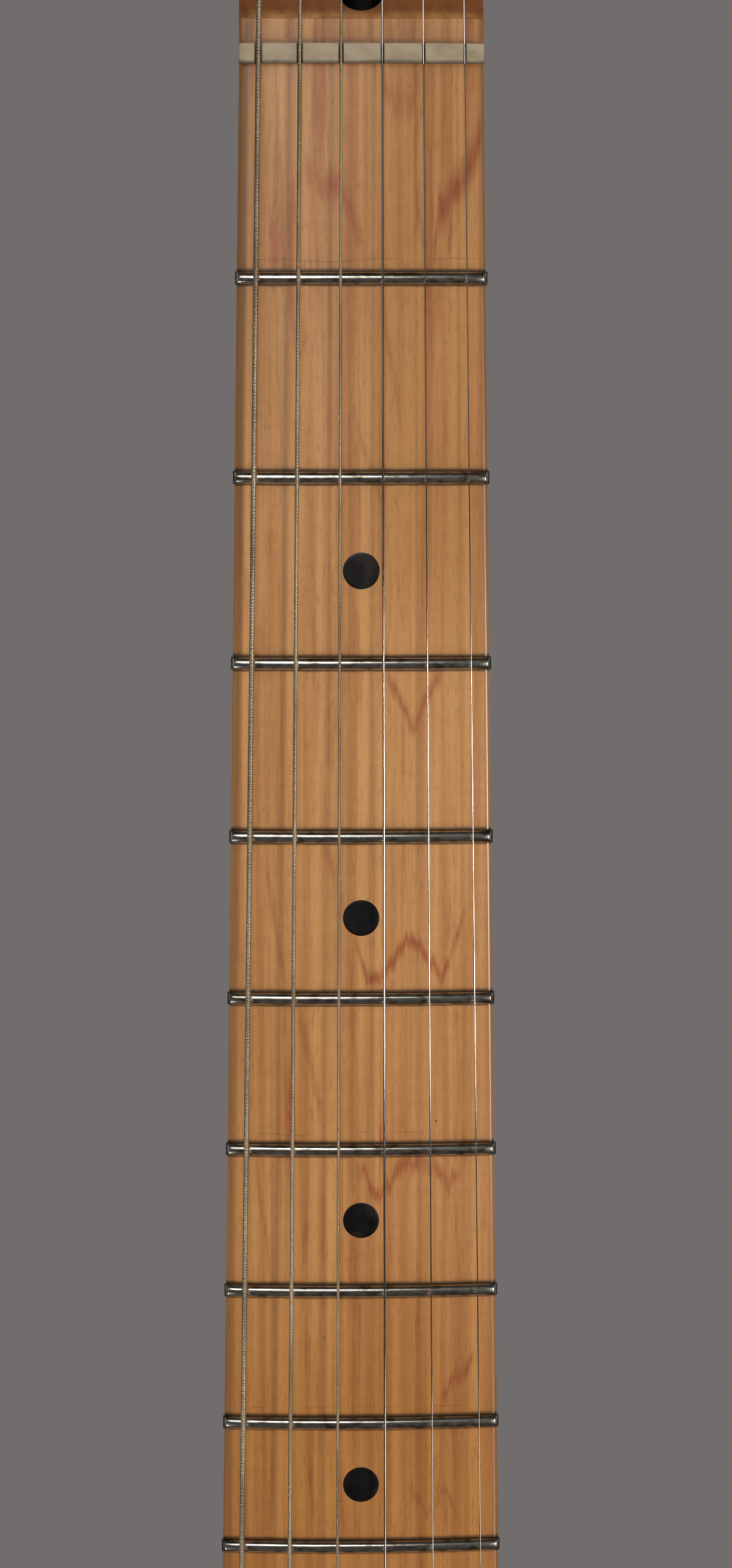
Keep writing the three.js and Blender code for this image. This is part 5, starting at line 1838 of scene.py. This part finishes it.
@dataclass
class Nut:
    """The bone nut with its six round-bottomed string slots."""

    finishes: Finishes
    wound_play: float = 0.1 * MM
    plain_play: float = 0.05 * MM
    side_play: float = 0.02 * MM
    corner: float = 0.5 * MM
    corner_round: float = 0.15 * MM
    lip: float = 0.12 * MM
    top_step: float = 1.2 * MM
    slot_steps: int = 8
    edge: float = 0.18 * MM
    edge_angle: float = radians(50)

    @property
    def half(self) -> float:
        """Half the nut's width."""
        return PLAN.width_at_nut / 2 - self.side_play

    def top(self, x: float) -> float:
        """Returns the depth of the nut's arched top at X."""
        radius = PLAN.board_radius + PLAN.nut_above_board
        return PLAN.crown_drop(x, radius) - PLAN.nut_above_board

    def slot(self, index: int, reach: float) -> list[Pair]:
        """Draws a string's slot.

        Args:
            index: The string's place, from the bass side.
            reach: Half the slot's width.

        Returns:
            Pairs of X and depth from one side to the other.
        """
        middle, floor, lip = PLAN.string_x(index, 0), PLAN.string_depth(index, 0), self.lip
        top = self.top(middle)
        marks = [(middle - reach - lip, top), (middle - reach, top + lip)]
        for i in range(self.slot_steps + 1):
            angle = pi * i / self.slot_steps
            marks.append((middle - reach * cos(angle), floor + reach * sin(angle)))
        return marks + [(middle + reach, top + lip), (middle + reach + lip, top)]

    def outline(self) -> list[Pair]:
        """Draws the nut's outline across the neck.

        Returns:
            Pairs of X and depth.
        """
        half, corner, small = self.half, self.corner, self.corner_round
        marks = [(-half, self.top(-half) + corner), (-half + small, self.top(-half) + small)]
        x = -half + 0.5 * MM
        for index, gauge in enumerate(PLAN.gauges):
            play = self.wound_play if index < PLAN.wound else self.plain_play
            middle, reach = PLAN.string_x(index, 0), gauge / 2 + play
            while x < middle - reach - 0.4 * MM:
                marks.append((x, self.top(x)))
                x += self.top_step
            marks += self.slot(index, reach)
            x = middle + reach + 0.5 * MM
        while x < half - 0.3 * MM:
            marks.append((x, self.top(x)))
            x += self.top_step
        marks += [(half - small, self.top(half) + small), (half, self.top(half) + corner)]
        return marks + [(half, PLAN.nut_seat), (-half, PLAN.nut_seat)]

    def build(self) -> None:
        """Makes the nut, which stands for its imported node."""
        marks = self.outline()
        rings = [[PLAN.point(x, depth, rise) for x, depth in marks]
                 for rise in (0.0, PLAN.nut_thickness)]
        mesh = Skin().loft(rings).mesh("bone_nut", 30.0)
        piece = show("bone_nut", mesh, self.finishes.bone, ["nut"])
        bevel = piece.modifiers.new("worn_edges", "BEVEL")
        bevel.width, bevel.segments, bevel.limit_method = self.edge, 2, "ANGLE"
        bevel.angle_limit = self.edge_angle


@dataclass
class Strings:
    """Six strings from their ball ends over the nut to their turns on the posts."""

    finishes: Finishes
    turns: int = 2
    turn_steps: int = 40
    wrap_gap: float = 0.8 * MM
    wrap_low: float = 4.6 * MM
    bend_reach: float = 0.5 * MM
    bend_shares: tuple[float, ...] = (0, 0.25, 0.5, 0.75, 1)
    ball_radius: float = 1.62 * MM
    ball_length: float = 3.6 * MM
    ball_lift: float = 0.25 * MM
    lock_turns: int = 10
    lock_steps: int = 9
    lock_pitch: float = 0.9 * MM
    lock_gap: float = 0.12 * MM
    lock_wire: float = 0.15 * MM
    wire_shares: tuple[float, ...] = (0.27, 0.27, 0.31)
    winding_gap: float = 1.02
    steps_per_turn: tuple[int, ...] = (8, 7, 6)
    plain_sides: int = 12

    def route(self, index: int) -> list[Vector]:
        """Draws a string's centre line from the bridge line to its last turn.

        Args:
            index: The string's place, from the bass side.

        Returns:
            The line's points.
        """
        bridge = PLAN.scale_length
        corners = [
            PLAN.point(PLAN.string_x(index, bridge), PLAN.string_depth(index, bridge),
                       -bridge + self.ball_lift),
            PLAN.point(PLAN.string_x(index, 0), PLAN.string_depth(index, 0), 0)]
        if index >= len(PLAN.gauges) - PLAN.treed:
            corners.append(PLAN.point(PLAN.string_x(index, -PLAN.tree_rise),
                                      PLAN.face_drop - PLAN.tree_height, PLAN.tree_rise))
        place, radius = PLAN.posts[index], PLAN.wrap_radius(index)
        climb = PLAN.gauges[index] + self.wrap_gap
        turns = []
        for i in range(self.turns * self.turn_steps + 1):
            turn = i / self.turn_steps
            angle = 2 * pi * turn
            turns.append(PLAN.point(
                place.x + radius * cos(angle), PLAN.face_drop - self.wrap_low - climb * turn,
                place.y + radius * sin(angle)))
        route = [corners[0]]
        after = corners[2:] + [turns[0]]
        for i in range(1, len(corners)):
            route += self.bend(corners[i - 1], corners[i], after[i - 1])
        return route + turns

    def bend(self, before: Vector, corner: Vector, after: Vector) -> list[Vector]:
        """Softens a corner of a string's line.

        Args:
            before: The corner before it.
            corner: The corner.
            after: The corner after it.

        Returns:
            The points of the bend.
        """
        start = corner + (before - corner).normalized() * self.bend_reach
        end = corner + (after - corner).normalized() * self.bend_reach
        return [start * (1 - t) ** 2 + corner * (2 * t * (1 - t)) + end * t * t
                for t in self.bend_shares]

    def ball(self, route: Sequence[Vector], gauge: float) -> Skin:
        """Builds a string's ball end with its twisted lock.

        Args:
            route: The string's line.
            gauge: Its diameter.

        Returns:
            The ball end's skin.
        """
        along = (route[1] - route[0]).normalized()
        turn = Vector((0, 1, 0)).rotation_difference(along).to_matrix().to_4x4()
        frame = Matrix.Translation(route[0]) @ turn
        r, length = self.ball_radius, self.ball_length
        skin = Skin().turned([
            (0, 0), (r * 0.7, 0), (r * 0.92, r * 0.08), (r, r * 0.28), (r * 0.93, length * 0.42),
            (r * 0.93, length * 0.58), (r, length - r * 0.28), (r * 0.92, length - r * 0.08),
            (r * 0.6, length), (0, length)], 28, frame)
        twist, reach = [], gauge / 2 + self.lock_gap
        for i in range(self.lock_turns * self.lock_steps + 1):
            angle = 2 * pi * i / self.lock_steps
            rise = length + self.lock_pitch * i / self.lock_steps
            twist.append(frame @ Vector((reach * cos(angle), rise, reach * sin(angle))))
        return skin.tube(twist, [self.lock_wire] * len(twist), 6)

    def build(self) -> None:
        """Makes every string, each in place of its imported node."""
        tree = winding_tree(self.finishes.wound)
        for index, gauge in enumerate(PLAN.gauges):
            number = index + 1
            name, route = f"string_wire_{number}", self.route(index)
            if index < PLAN.wound:
                wire = gauge * self.wire_shares[index] / 2
                pitch = 2 * wire * self.winding_gap
                sizes = {"Core radius": gauge / 2 - 2 * wire, "Wire radius": wire, "Pitch": pitch,
                         "Step": pitch / self.steps_per_turn[index]}
                mesh = tree.grow(name, point_mesh("string_route", route, True), sizes, 180.0)
                slot, finish = Slot.WOUND, self.finishes.wound
            else:
                radii = [gauge / 2] * len(route)
                mesh = Skin().tube(route, radii, self.plain_sides).mesh(name, 60.0)
                slot, finish = Slot.PLAIN, self.finishes.plain
            show(name, mesh, finish, [f"string_{number}"])
            ball = self.ball(route, gauge).mesh(f"ball_end_{number}", 40.0)
            show(f"ball_end_{number}", ball, self.finishes.brass)


@dataclass
class StringTree:
    """The small bent clip and screw that hold the two thinnest strings down."""

    finishes: Finishes
    width: float = 5.6 * MM
    thickness: float = 0.8 * MM
    gap: float = 0.03 * MM
    trim: float = 0.25 * MM
    narrowing: float = 0.18
    half_shape: tuple[Pair, ...] = (
        (0.0, 0.5), (0.45, 0.48), (0.8, 0.15), (1.0, 0.0), (1.2, 0.15), (1.5, 0.75), (1.62, 1.5))
    stations: tuple[float, ...] = (-1, -0.86, 0.86, 1)
    spacer: Pair = (2.3 * MM, 1.7 * MM)
    screw: Triple = (2.0 * MM, 1.1 * MM, 0.5 * MM)

    def build(self) -> None:
        """Makes the clip with its spacer, and its screw."""
        rise, first = PLAN.tree_rise, len(PLAN.gauges) - PLAN.treed
        left, right = (PLAN.string_x(i, -rise) for i in (first, first + 1))
        centre, reach = (left + right) / 2, (right - left) / 2
        face = PLAN.y_at(PLAN.face_drop)
        under = face - PLAN.tree_height - PLAN.gauges[first] / 2 - self.gap
        shape = [(-a, b) for a, b in reversed(self.half_shape[1:])] + list(self.half_shape)
        rings = []
        for share in self.stations:
            low, high = [], []
            trim = self.trim if abs(share) == 1 else 0.0
            for a, b in shape:
                narrow = 1 - self.narrowing * min(abs(a), 1.0) * abs(share)
                x, z = centre + a * reach, PLAN.z_at(rise) + share * self.width / 2 * narrow
                low.append(Vector((x, under + b * MM - trim, z)))
                high.append(Vector((x, under + b * MM - self.thickness + trim, z)))
            rings.append(low + high[::-1])
        skin = Skin().loft(rings)
        (foot, neck), top = self.spacer, under + 0.3 * MM
        skin.turned([(0, face), (foot, face), (foot, under + 1.2 * MM), (neck, top), (0, top)], 28,
                    Matrix.Translation((centre, 0, PLAN.z_at(rise))))
        clip = skin.mesh("string_tree_clip", 45.0)
        show("string_tree_clip", clip, self.finishes.chrome)
        head = Vector((centre, under + 0.5 * MM - self.thickness, PLAN.z_at(rise)))
        tree = screw_tree(self.finishes.chrome)
        grown = tree.grow("string_tree_screw", point_mesh("tree_screw_place", [head]),
                          dict(zip(("Radius", "Height", "Slot"), self.screw)), 35.0)
        grown.transform(Matrix.Translation(head) @ Matrix.Rotation(pi, 4, "X")
                        @ Matrix.Translation(-head))
        show("string_tree_screw", grown, self.finishes.chrome)


@dataclass
class Tuners:
    """Six worm-geared tuners in line: housing with bushing, post, and shaft with its button."""

    finishes: Finishes
    side: float = 4.25 * MM
    wall: float = 1.3 * MM
    outer_wall: float = 6.0 * MM
    worm_axis: float = 5.5 * MM
    worm_radius: float = 2.45 * MM
    worm_room: float = 0.3 * MM
    depth: float = 10.4 * MM
    seat: float = 0.1 * MM
    corner: float = 2.4 * MM
    edge: float = 1.3 * MM
    edge_steps: int = 5
    bushing: float = 4.8 * MM
    flange: float = 6.8 * MM
    flange_height: float = 2.2 * MM
    post: float = 3.0 * MM
    post_foot: tuple[Pair, ...] = ((0, 7.6), (2.2, 7.6), (2.2, 2.9), (3.6, 2.75), (3.6, 2.8))
    cross_hole: float = 0.8 * MM
    cross_hole_reach: float = 5 * MM
    cross_hole_low: float = 2.7 * MM
    above_face: float = 11.4 * MM
    shaft: float = 1.9 * MM
    shaft_foot: tuple[Pair, ...] = (
        (0, -4.9), (1.1, -4.9), (1.1, -2.3), (1.38, -2.3), (1.38, 2.3), (2.2, 3), (2.2, 3.9))
    play: float = 0.25 * MM
    button_from: float = 22 * MM
    button_length: float = 13 * MM
    button_width: float = 19 * MM
    button_depth: float = 7 * MM
    button_power: float = 3.6
    button_levels: int = 9
    button_sides: int = 56
    button_pinch: float = 0.035
    thread_turns: float = 2.5
    thread_steps: int = 24
    thread_radius: float = 1.72 * MM
    thread_wire: float = 0.5 * MM
    ear_length: float = 4.2 * MM
    ear_thickness: float = 1.1 * MM
    ear_corner: float = 3.2 * MM
    gear_teeth: int = 14
    gear_half: float = 1.25 * MM
    tooth: tuple[Pair, ...] = ((-0.68, 2.88), (-0.3, 3.95), (0.3, 3.95), (0.68, 2.88))
    tooth_share: float = 0.94
    screw: Triple = (1.55 * MM, 0.8 * MM, 0.42 * MM)

    @property
    def level(self) -> float:
        """The depth of the gear's and the shaft's middle behind the headstock."""
        return self.depth / 2

    @property
    def worm_end(self) -> float:
        """How far from the post the worm's room ends."""
        return self.worm_axis + self.worm_radius + self.worm_room

    def frame(self, index: int) -> Matrix:
        """Finds where a tuner's own axes lie, X to its button and Y to the back.

        Args:
            index: The tuner's place, from the bass side.

        Returns:
            Its frame.
        """
        place, out = PLAN.posts[index], PLAN.button_side
        origin = PLAN.point(place.x, PLAN.face_drop + PLAN.head_thickness, place.y)
        turn = Matrix(((out.x, 0, -out.y), (0, 1, 0), (out.y, 0, out.x))).to_4x4()
        return Matrix.Translation(origin) @ turn

    def rounded(self, low: Pair, high: Pair, corner: float) -> list[Pair]:
        """Draws a rectangle with round corners.

        Args:
            low: Its low corner's X and Z.
            high: Its high corner's X and Z.
            corner: The corners' radius.

        Returns:
            The outline's X and Z pairs.
        """
        left, right = low[0] + corner, high[0] - corner
        bottom, top = low[1] + corner, high[1] - corner
        points = []
        corners = ((right, top), (left, top), (left, bottom), (right, bottom))
        for quarter, (cx, cz) in enumerate(corners):
            for i in range(7):
                angle = radians(90 * quarter + 15 * i)
                points.append((cx + corner * cos(angle), cz + corner * sin(angle)))
        return points

    def block(self, outline: Sequence[Pair], levels: Sequence[Pair]) -> Skin:
        """Builds a prism along Y.

        Args:
            outline: Its X and Z pairs.
            levels: How far the outline is drawn in, and at which Y.

        Returns:
            The prism's skin.
        """
        count = len(outline)
        normals = []
        for i in range(count):
            a, b = outline[i - 1], outline[(i + 1) % count]
            length = hypot(b[0] - a[0], b[1] - a[1])
            normals.append((-(b[1] - a[1]) / length, (b[0] - a[0]) / length))
        rings = [[Vector((p[0] + n[0] * inset, y, p[1] + n[1] * inset))
                  for p, n in zip(outline, normals)] for inset, y in levels]
        return Skin().loft(rings)

    def cover(self, low: Pair, high: Pair) -> Skin:
        """Builds the case's cover, softened at its edge and a little hollow on top.

        Args:
            low: The cover's low corner in X and Z.
            high: Its high corner.

        Returns:
            The cover's skin.
        """
        top, edge = self.seat + self.depth, self.edge
        angles = [pi / 2 * i / self.edge_steps for i in range(self.edge_steps, -1, -1)]
        soft = [(edge * (1 - sin(a)), top - edge * (1 - cos(a))) for a in angles]
        groove = self.seat + self.ear_thickness
        levels = [(0.25 * MM, self.seat), (0.25 * MM, groove + 0.3 * MM), (0.0, groove + 0.5 * MM)]
        dish = [(edge + 0.8 * MM, top), (edge + 1.1 * MM, top - 0.18 * MM)]
        return self.block(self.rounded(low, high, self.corner), levels + soft + dish)

    def housing(self) -> Mesh:
        """Builds the cover on its plate with the bushing through the headstock, hollow inside.

        Returns:
            The housing's mesh.
        """
        low = (-self.side - self.wall, -self.side - self.wall)
        high = (self.side + self.outer_wall, self.worm_end + self.wall)
        mesh = self.cover(low, high).mesh("tuner_housing", 30.0)
        ears = self.rounded((low[0] + 0.6 * MM, low[1] - self.ear_length),
                            (high[0] - 4 * MM, high[1] + self.ear_length), self.ear_corner)
        seat, thick = self.seat, self.ear_thickness
        plate = self.block(ears, [(0.0, seat), (0.0, seat + thick * 0.6), (0.3 * MM, seat + thick)])
        mesh = carve(mesh, plate.mesh("tuner_plate"), Cut.JOIN)
        face, barrel, flange = -PLAN.head_thickness - seat, self.bushing, self.flange
        top = face - self.flange_height
        profile = [
            (0, self.wall), (barrel, self.wall), (barrel, face), (flange, face),
            (flange, face - 0.9 * MM), (flange - 0.25 * MM, face - 1.15 * MM),
            (flange - 1.1 * MM, face - 1.45 * MM), (flange - 1.5 * MM, top + 0.3 * MM),
            (flange - 1.9 * MM, top), (0, top)]
        mesh = carve(mesh, Skin().turned(profile, 56).mesh("bushing"), Cut.JOIN)
        half = self.worm_radius + self.worm_room
        inside = Skin().add(*box_shell(Vector((-self.side, self.level - half, -self.side)),
                                       Vector((self.side, self.level + half, self.worm_end))))
        mesh = carve(mesh, inside.mesh("cavity"), Cut.REMOVE)
        bore, mouth, way = self.post + self.play, top - 0.2 * MM, self.shaft + self.play
        post_bore = [(0, self.level), (bore, self.level), (bore, top + 0.5 * MM),
                     (bore + 0.7 * MM, mouth), (0, mouth)]
        shaft_bore = [(0, 0), (way, 0), (way, high[0] + MM), (0, high[0] + MM)]
        for profile, frame in ((post_bore, Matrix.Identity(4)), (shaft_bore, self.shaft_frame())):
            mesh = carve(mesh, Skin().turned(profile, 36, frame).mesh("bore"), Cut.REMOVE, 30.0)
        mesh.materials.clear()
        return mesh

    def shaft_frame(self) -> Matrix:
        """Returns the shaft's axis in a tuner's own axes."""
        place = Matrix.Translation((0, self.level, self.worm_axis))
        return place @ Matrix.Rotation(-pi / 2, 4, "Z")

    def gear(self) -> Skin:
        """Builds the post's gear.

        Returns:
            The gear's skin.
        """
        ring = []
        for number in range(self.gear_teeth):
            middle = pi / self.gear_teeth * (2 * number + 1)
            for share, radius in self.tooth:
                angle = middle + share * pi / self.gear_teeth * self.tooth_share
                ring.append((radius * MM * cos(angle), radius * MM * sin(angle)))
        return Skin().loft([[Vector((a, self.level + side * self.gear_half, b)) for a, b in ring]
                            for side in (-1, 1)])

    def post_mesh(self) -> Mesh:
        """Builds the string post with its waist, cross hole, dished top and gear.

        Returns:
            The post's mesh.
        """
        face = -PLAN.head_thickness
        end = face - self.above_face
        r, w = self.post, PLAN.post_waist
        profile = in_metres(self.post_foot) + [
            (r, 2.8 * MM), (r, face - 2.4 * MM), (r - 0.08 * MM, face - 2.8 * MM),
            (w + 0.1 * MM, face - 3.25 * MM), (w, face - 3.6 * MM), (w, end + 2.2 * MM),
            (w + 0.06 * MM, end + 1.85 * MM), (r - 0.06 * MM, end + 1.6 * MM), (r, end + 1.45 * MM),
            (r, end + 0.35 * MM), (r - 0.1 * MM, end + 0.12 * MM), (r - 0.35 * MM, end),
            (1.5 * MM, end), (1.3 * MM, end + 0.15 * MM), (0, end + 0.5 * MM)]
        reach, hole = self.cross_hole_reach, self.cross_hole
        drill = Skin().turned(
            [(0, -reach), (hole, -reach), (hole, reach), (0, reach)], 20,
            Matrix.Translation((0, end + self.cross_hole_low, 0)) @ Matrix.Rotation(pi / 2, 4, "X"))
        post = Skin().turned(profile, 40).mesh("tuner_post")
        mesh = carve(post, drill.mesh("cross_hole"), Cut.REMOVE)
        mesh = carve(mesh, self.gear().mesh("gear"), Cut.JOIN)
        mesh.materials.clear()
        return mesh

    def button_rings(self) -> list[list[Vector]]:
        """Draws the domed oval button, pinched a little at its waist.

        Returns:
            The button's rings.
        """
        count, power = self.button_levels, self.button_power
        heights = [cos(pi * i / (2 * count)) for i in range(count + 1)]
        sides = [((1 - h**power) ** (1 / power), h) for h in heights]
        sides += [(out, -up) for out, up in reversed(sides[:-1])]
        long, wide, thick = self.button_length / 2, self.button_width / 2, self.button_depth / 2
        rings = []
        for out, up in sides:
            ring = []
            for angle in round_angles(self.button_sides):
                pinch = 1 - self.button_pinch * cos(2 * angle)
                ring.append(Vector((self.button_from + long + long * out * cos(angle), thick * up,
                                    wide * out * sin(angle) * pinch / (1 + self.button_pinch))))
            rings.append(ring)
        return rings

    def button_mesh(self) -> Mesh:
        """Builds the shaft with its collars, worm and domed oval button.

        Returns:
            The shaft's mesh.
        """
        out = self.side + self.outer_wall
        s, start = self.shaft, self.button_from
        profile = in_metres(self.shaft_foot) + [
            (s, 3.9 * MM), (s, out + 0.3 * MM), (2.9 * MM, out + 0.35 * MM),
            (3.05 * MM, out + 0.5 * MM), (3.05 * MM, out + 1.0 * MM), (2.8 * MM, out + 1.2 * MM),
            (s + 0.15 * MM, out + 1.35 * MM), (s, out + 2.4 * MM), (s + 0.1 * MM, start - 3.2 * MM),
            (2.6 * MM, start - 1.6 * MM), (3.4 * MM, start - 0.4 * MM), (3.6 * MM, start + 0.8 * MM),
            (3.2 * MM, start + 2 * MM), (0, start + 5 * MM)]
        skin = Skin().turned(profile, 36, Matrix.Rotation(-pi / 2, 4, "Z"))
        skin.loft(self.button_rings(), capped=False)
        thread, radius = [], self.thread_radius
        for i in range(int(self.thread_turns * self.thread_steps) + 1):
            turn = i / self.thread_steps - self.thread_turns / 2
            angle = 2 * pi * turn - pi / 2
            thread.append(Vector((pi * self.thread_wire * turn, radius * cos(angle),
                                  radius * sin(angle))))
        skin.tube(thread, [self.thread_wire] * len(thread), 8)
        place = Matrix.Translation((0, self.level, self.worm_axis))
        return skin.moved(place).mesh("tuner_button", 35.0)

    def screws(self) -> list[Vector]:
        """Finds the plates' screws.

        Returns:
            The screws' places.
        """
        low, high = -self.side - self.wall, self.worm_end + self.wall
        away, level = self.ear_length / 2, self.seat + self.ear_thickness
        return [self.frame(index) @ Vector((0, level, z))
                for index in range(len(PLAN.gauges)) for z in (low - away, high + away)]

    def build(self) -> None:
        """Makes every tuner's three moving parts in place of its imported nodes, and the screws."""
        shapes = {"housing": self.housing(), "post": self.post_mesh(), "button": self.button_mesh()}
        chrome = self.finishes.chrome
        for index in range(len(PLAN.gauges)):
            number = index + 1
            bodies = {"housing": Body.ROOT.value, "post": f"{Body.POST.value}{number}",
                      "button": f"{Body.BUTTON.value}{number}"}
            for part, shape in shapes.items():
                mesh = shape.copy()
                mesh.transform(self.frame(index))
                show(f"machine_{number}_{part}", mesh, chrome,
                     [f"tuner_{number}_{part}"], bodies[part])
        tree = screw_tree(chrome)
        grown = tree.grow("machine_screws", point_mesh("machine_screw_places", self.screws()),
                          dict(zip(("Radius", "Height", "Slot"), self.screw)), 35.0)
        show("machine_screws", grown, chrome)


def box_shell(low: Vector, high: Vector) -> tuple[list[Vector], list[list[int]]]:
    """Builds a box between two corners.

    Args:
        low: The low corner.
        high: The high corner.

    Returns:
        Its points and faces.
    """
    points = [Vector((x, y, z)) for x in (low.x, high.x) for y in (low.y, high.y)
              for z in (low.z, high.z)]
    return points, [[0, 1, 3, 2], [4, 6, 7, 5], [0, 4, 5, 1], [2, 3, 7, 6], [0, 2, 6, 4], [1, 5, 7, 3]]


@dataclass(frozen=True)
class SoftLamp:
    """A soft lamp with a grid: its place by the board's normal, its size and its power in watts."""

    name: str
    azimuth: float
    distance: float
    height: float
    size: Pair
    power: float
    colour: Triple = (1.0, 1.0, 1.0)

    def build(self, target: Vector, spread: float) -> None:
        """Hangs the lamp.

        Args:
            target: The point that it faces.
            spread: How wide its grid lets the light out.
        """
        a = radians(self.azimuth)
        place = Vector((sin(a) * self.distance, -cos(a) * self.distance, self.height))
        light = bpy.data.lights.new(self.name, "AREA")
        light.shape, light.energy = "RECTANGLE", self.power
        light.size, light.size_y = self.size
        light.color, light.spread = self.colour, spread
        lamp = placed(self.name, light)
        turn = (place - target).to_track_quat("Z", "Y").to_matrix().to_4x4()
        lamp.matrix_world = Matrix.Translation(place) @ turn


@dataclass
class Studio:
    """The floor, the soft lamps, the surroundings and the camera."""

    camera_place: Triple = (-13.281 * MM, -662.855 * MM, 380.088 * MM)
    pitch: float = radians(7.1816)
    yaw: float = radians(1.2686)
    roll: float = radians(0.0326)
    focal: float = 6011.44
    frame_height: float = 2572
    sensor: float = 36.0
    wall: Colour = srgb(113, 109, 108)
    reflected: Colour = srgb(52, 50, 48)
    fill: Colour = (0.86, 0.9, 1.0, 1.0)
    fill_strength: float = 0.58
    spread: float = radians(100)
    floor_radius: float = 1.15
    floor_sides: int = 96
    floor_drop: float = 30 * MM
    floor_depth: float = 20 * MM
    floor_edge: float = 4 * MM
    target: Vector = field(default_factory=lambda: Vector((0, -25 * MM, 240 * MM)))
    lamps: tuple[SoftLamp, ...] = (
        SoftLamp("right_softbox", 41, 1.18, 0.135, (0.28, 0.21), 1.93),
        SoftLamp("left_low_softbox", -45, 0.5, -0.19, (0.16, 0.12), 0.34),
        SoftLamp("high_strip", -10, 1.5, 0.76, (0.6, 0.26), 1.2, (1.0, 0.97, 0.95)),
        SoftLamp("veil_card", -6, 1.5, 0.46, (0.3, 0.26), 0.085, (1.0, 0.92, 0.87)),
        SoftLamp("warm_strip", 42, 0.7, -0.045, (0.12, 0.09), 0.12, (1.0, 0.84, 0.76)),
        SoftLamp("right_side_card", 112, 1.2, 0.3, (1.3, 1.5), 0.33),
        SoftLamp("left_side_card", -112, 1.2, 0.3, (1.3, 1.5), 0.33),
        SoftLamp("back_card", 180, 1.4, 0.5, (1.6, 1.4), 1.1),
    )

    def camera(self) -> None:
        """Puts the camera where the photograph was taken from."""
        level = cos(self.pitch)
        forward = Vector((sin(self.yaw) * level, cos(self.yaw) * level, -sin(self.pitch)))
        right = Vector((cos(self.yaw), -sin(self.yaw), 0))
        up = right.cross(forward)
        across = right * cos(self.roll) + up * sin(self.roll)
        above = up * cos(self.roll) - right * sin(self.roll)
        lens = bpy.data.cameras.new("photograph_view")
        lens.sensor_width = self.sensor
        lens.lens = self.focal / self.frame_height * self.sensor
        lens.clip_start, lens.clip_end = 0.01, 100
        viewer = placed("photograph_view", lens)
        turn = Matrix((across, above, -forward)).transposed().to_4x4()
        viewer.matrix_world = Matrix.Translation(self.camera_place) @ turn
        bpy.context.scene.camera = viewer

    def surroundings(self) -> None:
        """Sets a dim even world that the camera sees as a plain grey wall."""
        world = bpy.data.worlds.new("studio")
        bpy.context.scene.world = world
        world.use_nodes = True
        tree = NodeTree(world.node_tree)
        path = tree.node("ShaderNodeLightPath")
        seen, mirrored, fill = (
            tree.out("ShaderNodeBackground", sockets={"Color": colour, "Strength": strength})
            for colour, strength in (
                (self.wall, 1.0), (self.reflected, 1.0), (self.fill, self.fill_strength)))
        indirect = tree.out("ShaderNodeMixShader", sockets={
            0: tree.wire(path, "Is Glossy Ray"), 1: fill, 2: mirrored})
        chosen = tree.out("ShaderNodeMixShader", sockets={
            0: tree.wire(path, "Is Camera Ray"), 1: indirect, 2: seen})
        tree.node("ShaderNodeOutputWorld", sockets={"Surface": chosen})

    def floor(self) -> None:
        """Lays the round floor below the part."""
        low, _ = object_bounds()
        radius, depth, edge = self.floor_radius, self.floor_depth, self.floor_edge
        disc = [(0, depth), (radius, depth), (radius, edge), (radius - edge / 3, edge / 3),
                (radius - edge, 0), (0, 0)]
        frame = Matrix.Translation((0, 0, low.z - self.floor_drop)) \
            @ Matrix.Rotation(-pi / 2, 4, "X")
        piece = placed("floor", Skin().turned(disc, self.floor_sides, frame).mesh("floor"))
        piece.data.materials.append(StudioFloor().build())
        piece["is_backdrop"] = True

    def build(self) -> None:
        """Makes the camera, the lamps, the surroundings and the floor."""
        self.camera()
        for lamp in self.lamps:
            lamp.build(self.target, self.spread)
        self.surroundings()
        self.floor()
        bpy.context.scene.view_settings.view_transform = "Standard"


def dress_kept_nodes(nodes: dict[str, Object], finishes: Finishes) -> None:
    """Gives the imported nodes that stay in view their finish.

    Args:
        nodes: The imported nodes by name.
        finishes: The neck's finishes.
    """
    for name in ("truss_rod", "truss_rod_nut"):
        mesh = nodes[name].data
        mesh.materials.clear()
        mesh.materials.append(finishes.steel)
        LOG.info("%s: kept as packed, in steel", name)


def main() -> None:
    """Loads the frame and builds the studio, the finishes and every sub-assembly in order."""
    logging.basicConfig(level=logging.INFO, format="%(name)s %(message)s", force=True)
    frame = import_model()
    Studio().build()
    finishes = Finishes.build()
    wood = NeckWood(finishes)
    wood.build()
    FillerStrip(finishes, wood).build()
    Frets(finishes).build()
    Markers(finishes).build()
    Nut(finishes).build()
    Strings(finishes).build()
    StringTree(finishes).build()
    Tuners(finishes).build()
    dress_kept_nodes(frame["nodes"], finishes)


if __name__ == "__main__":
    main()
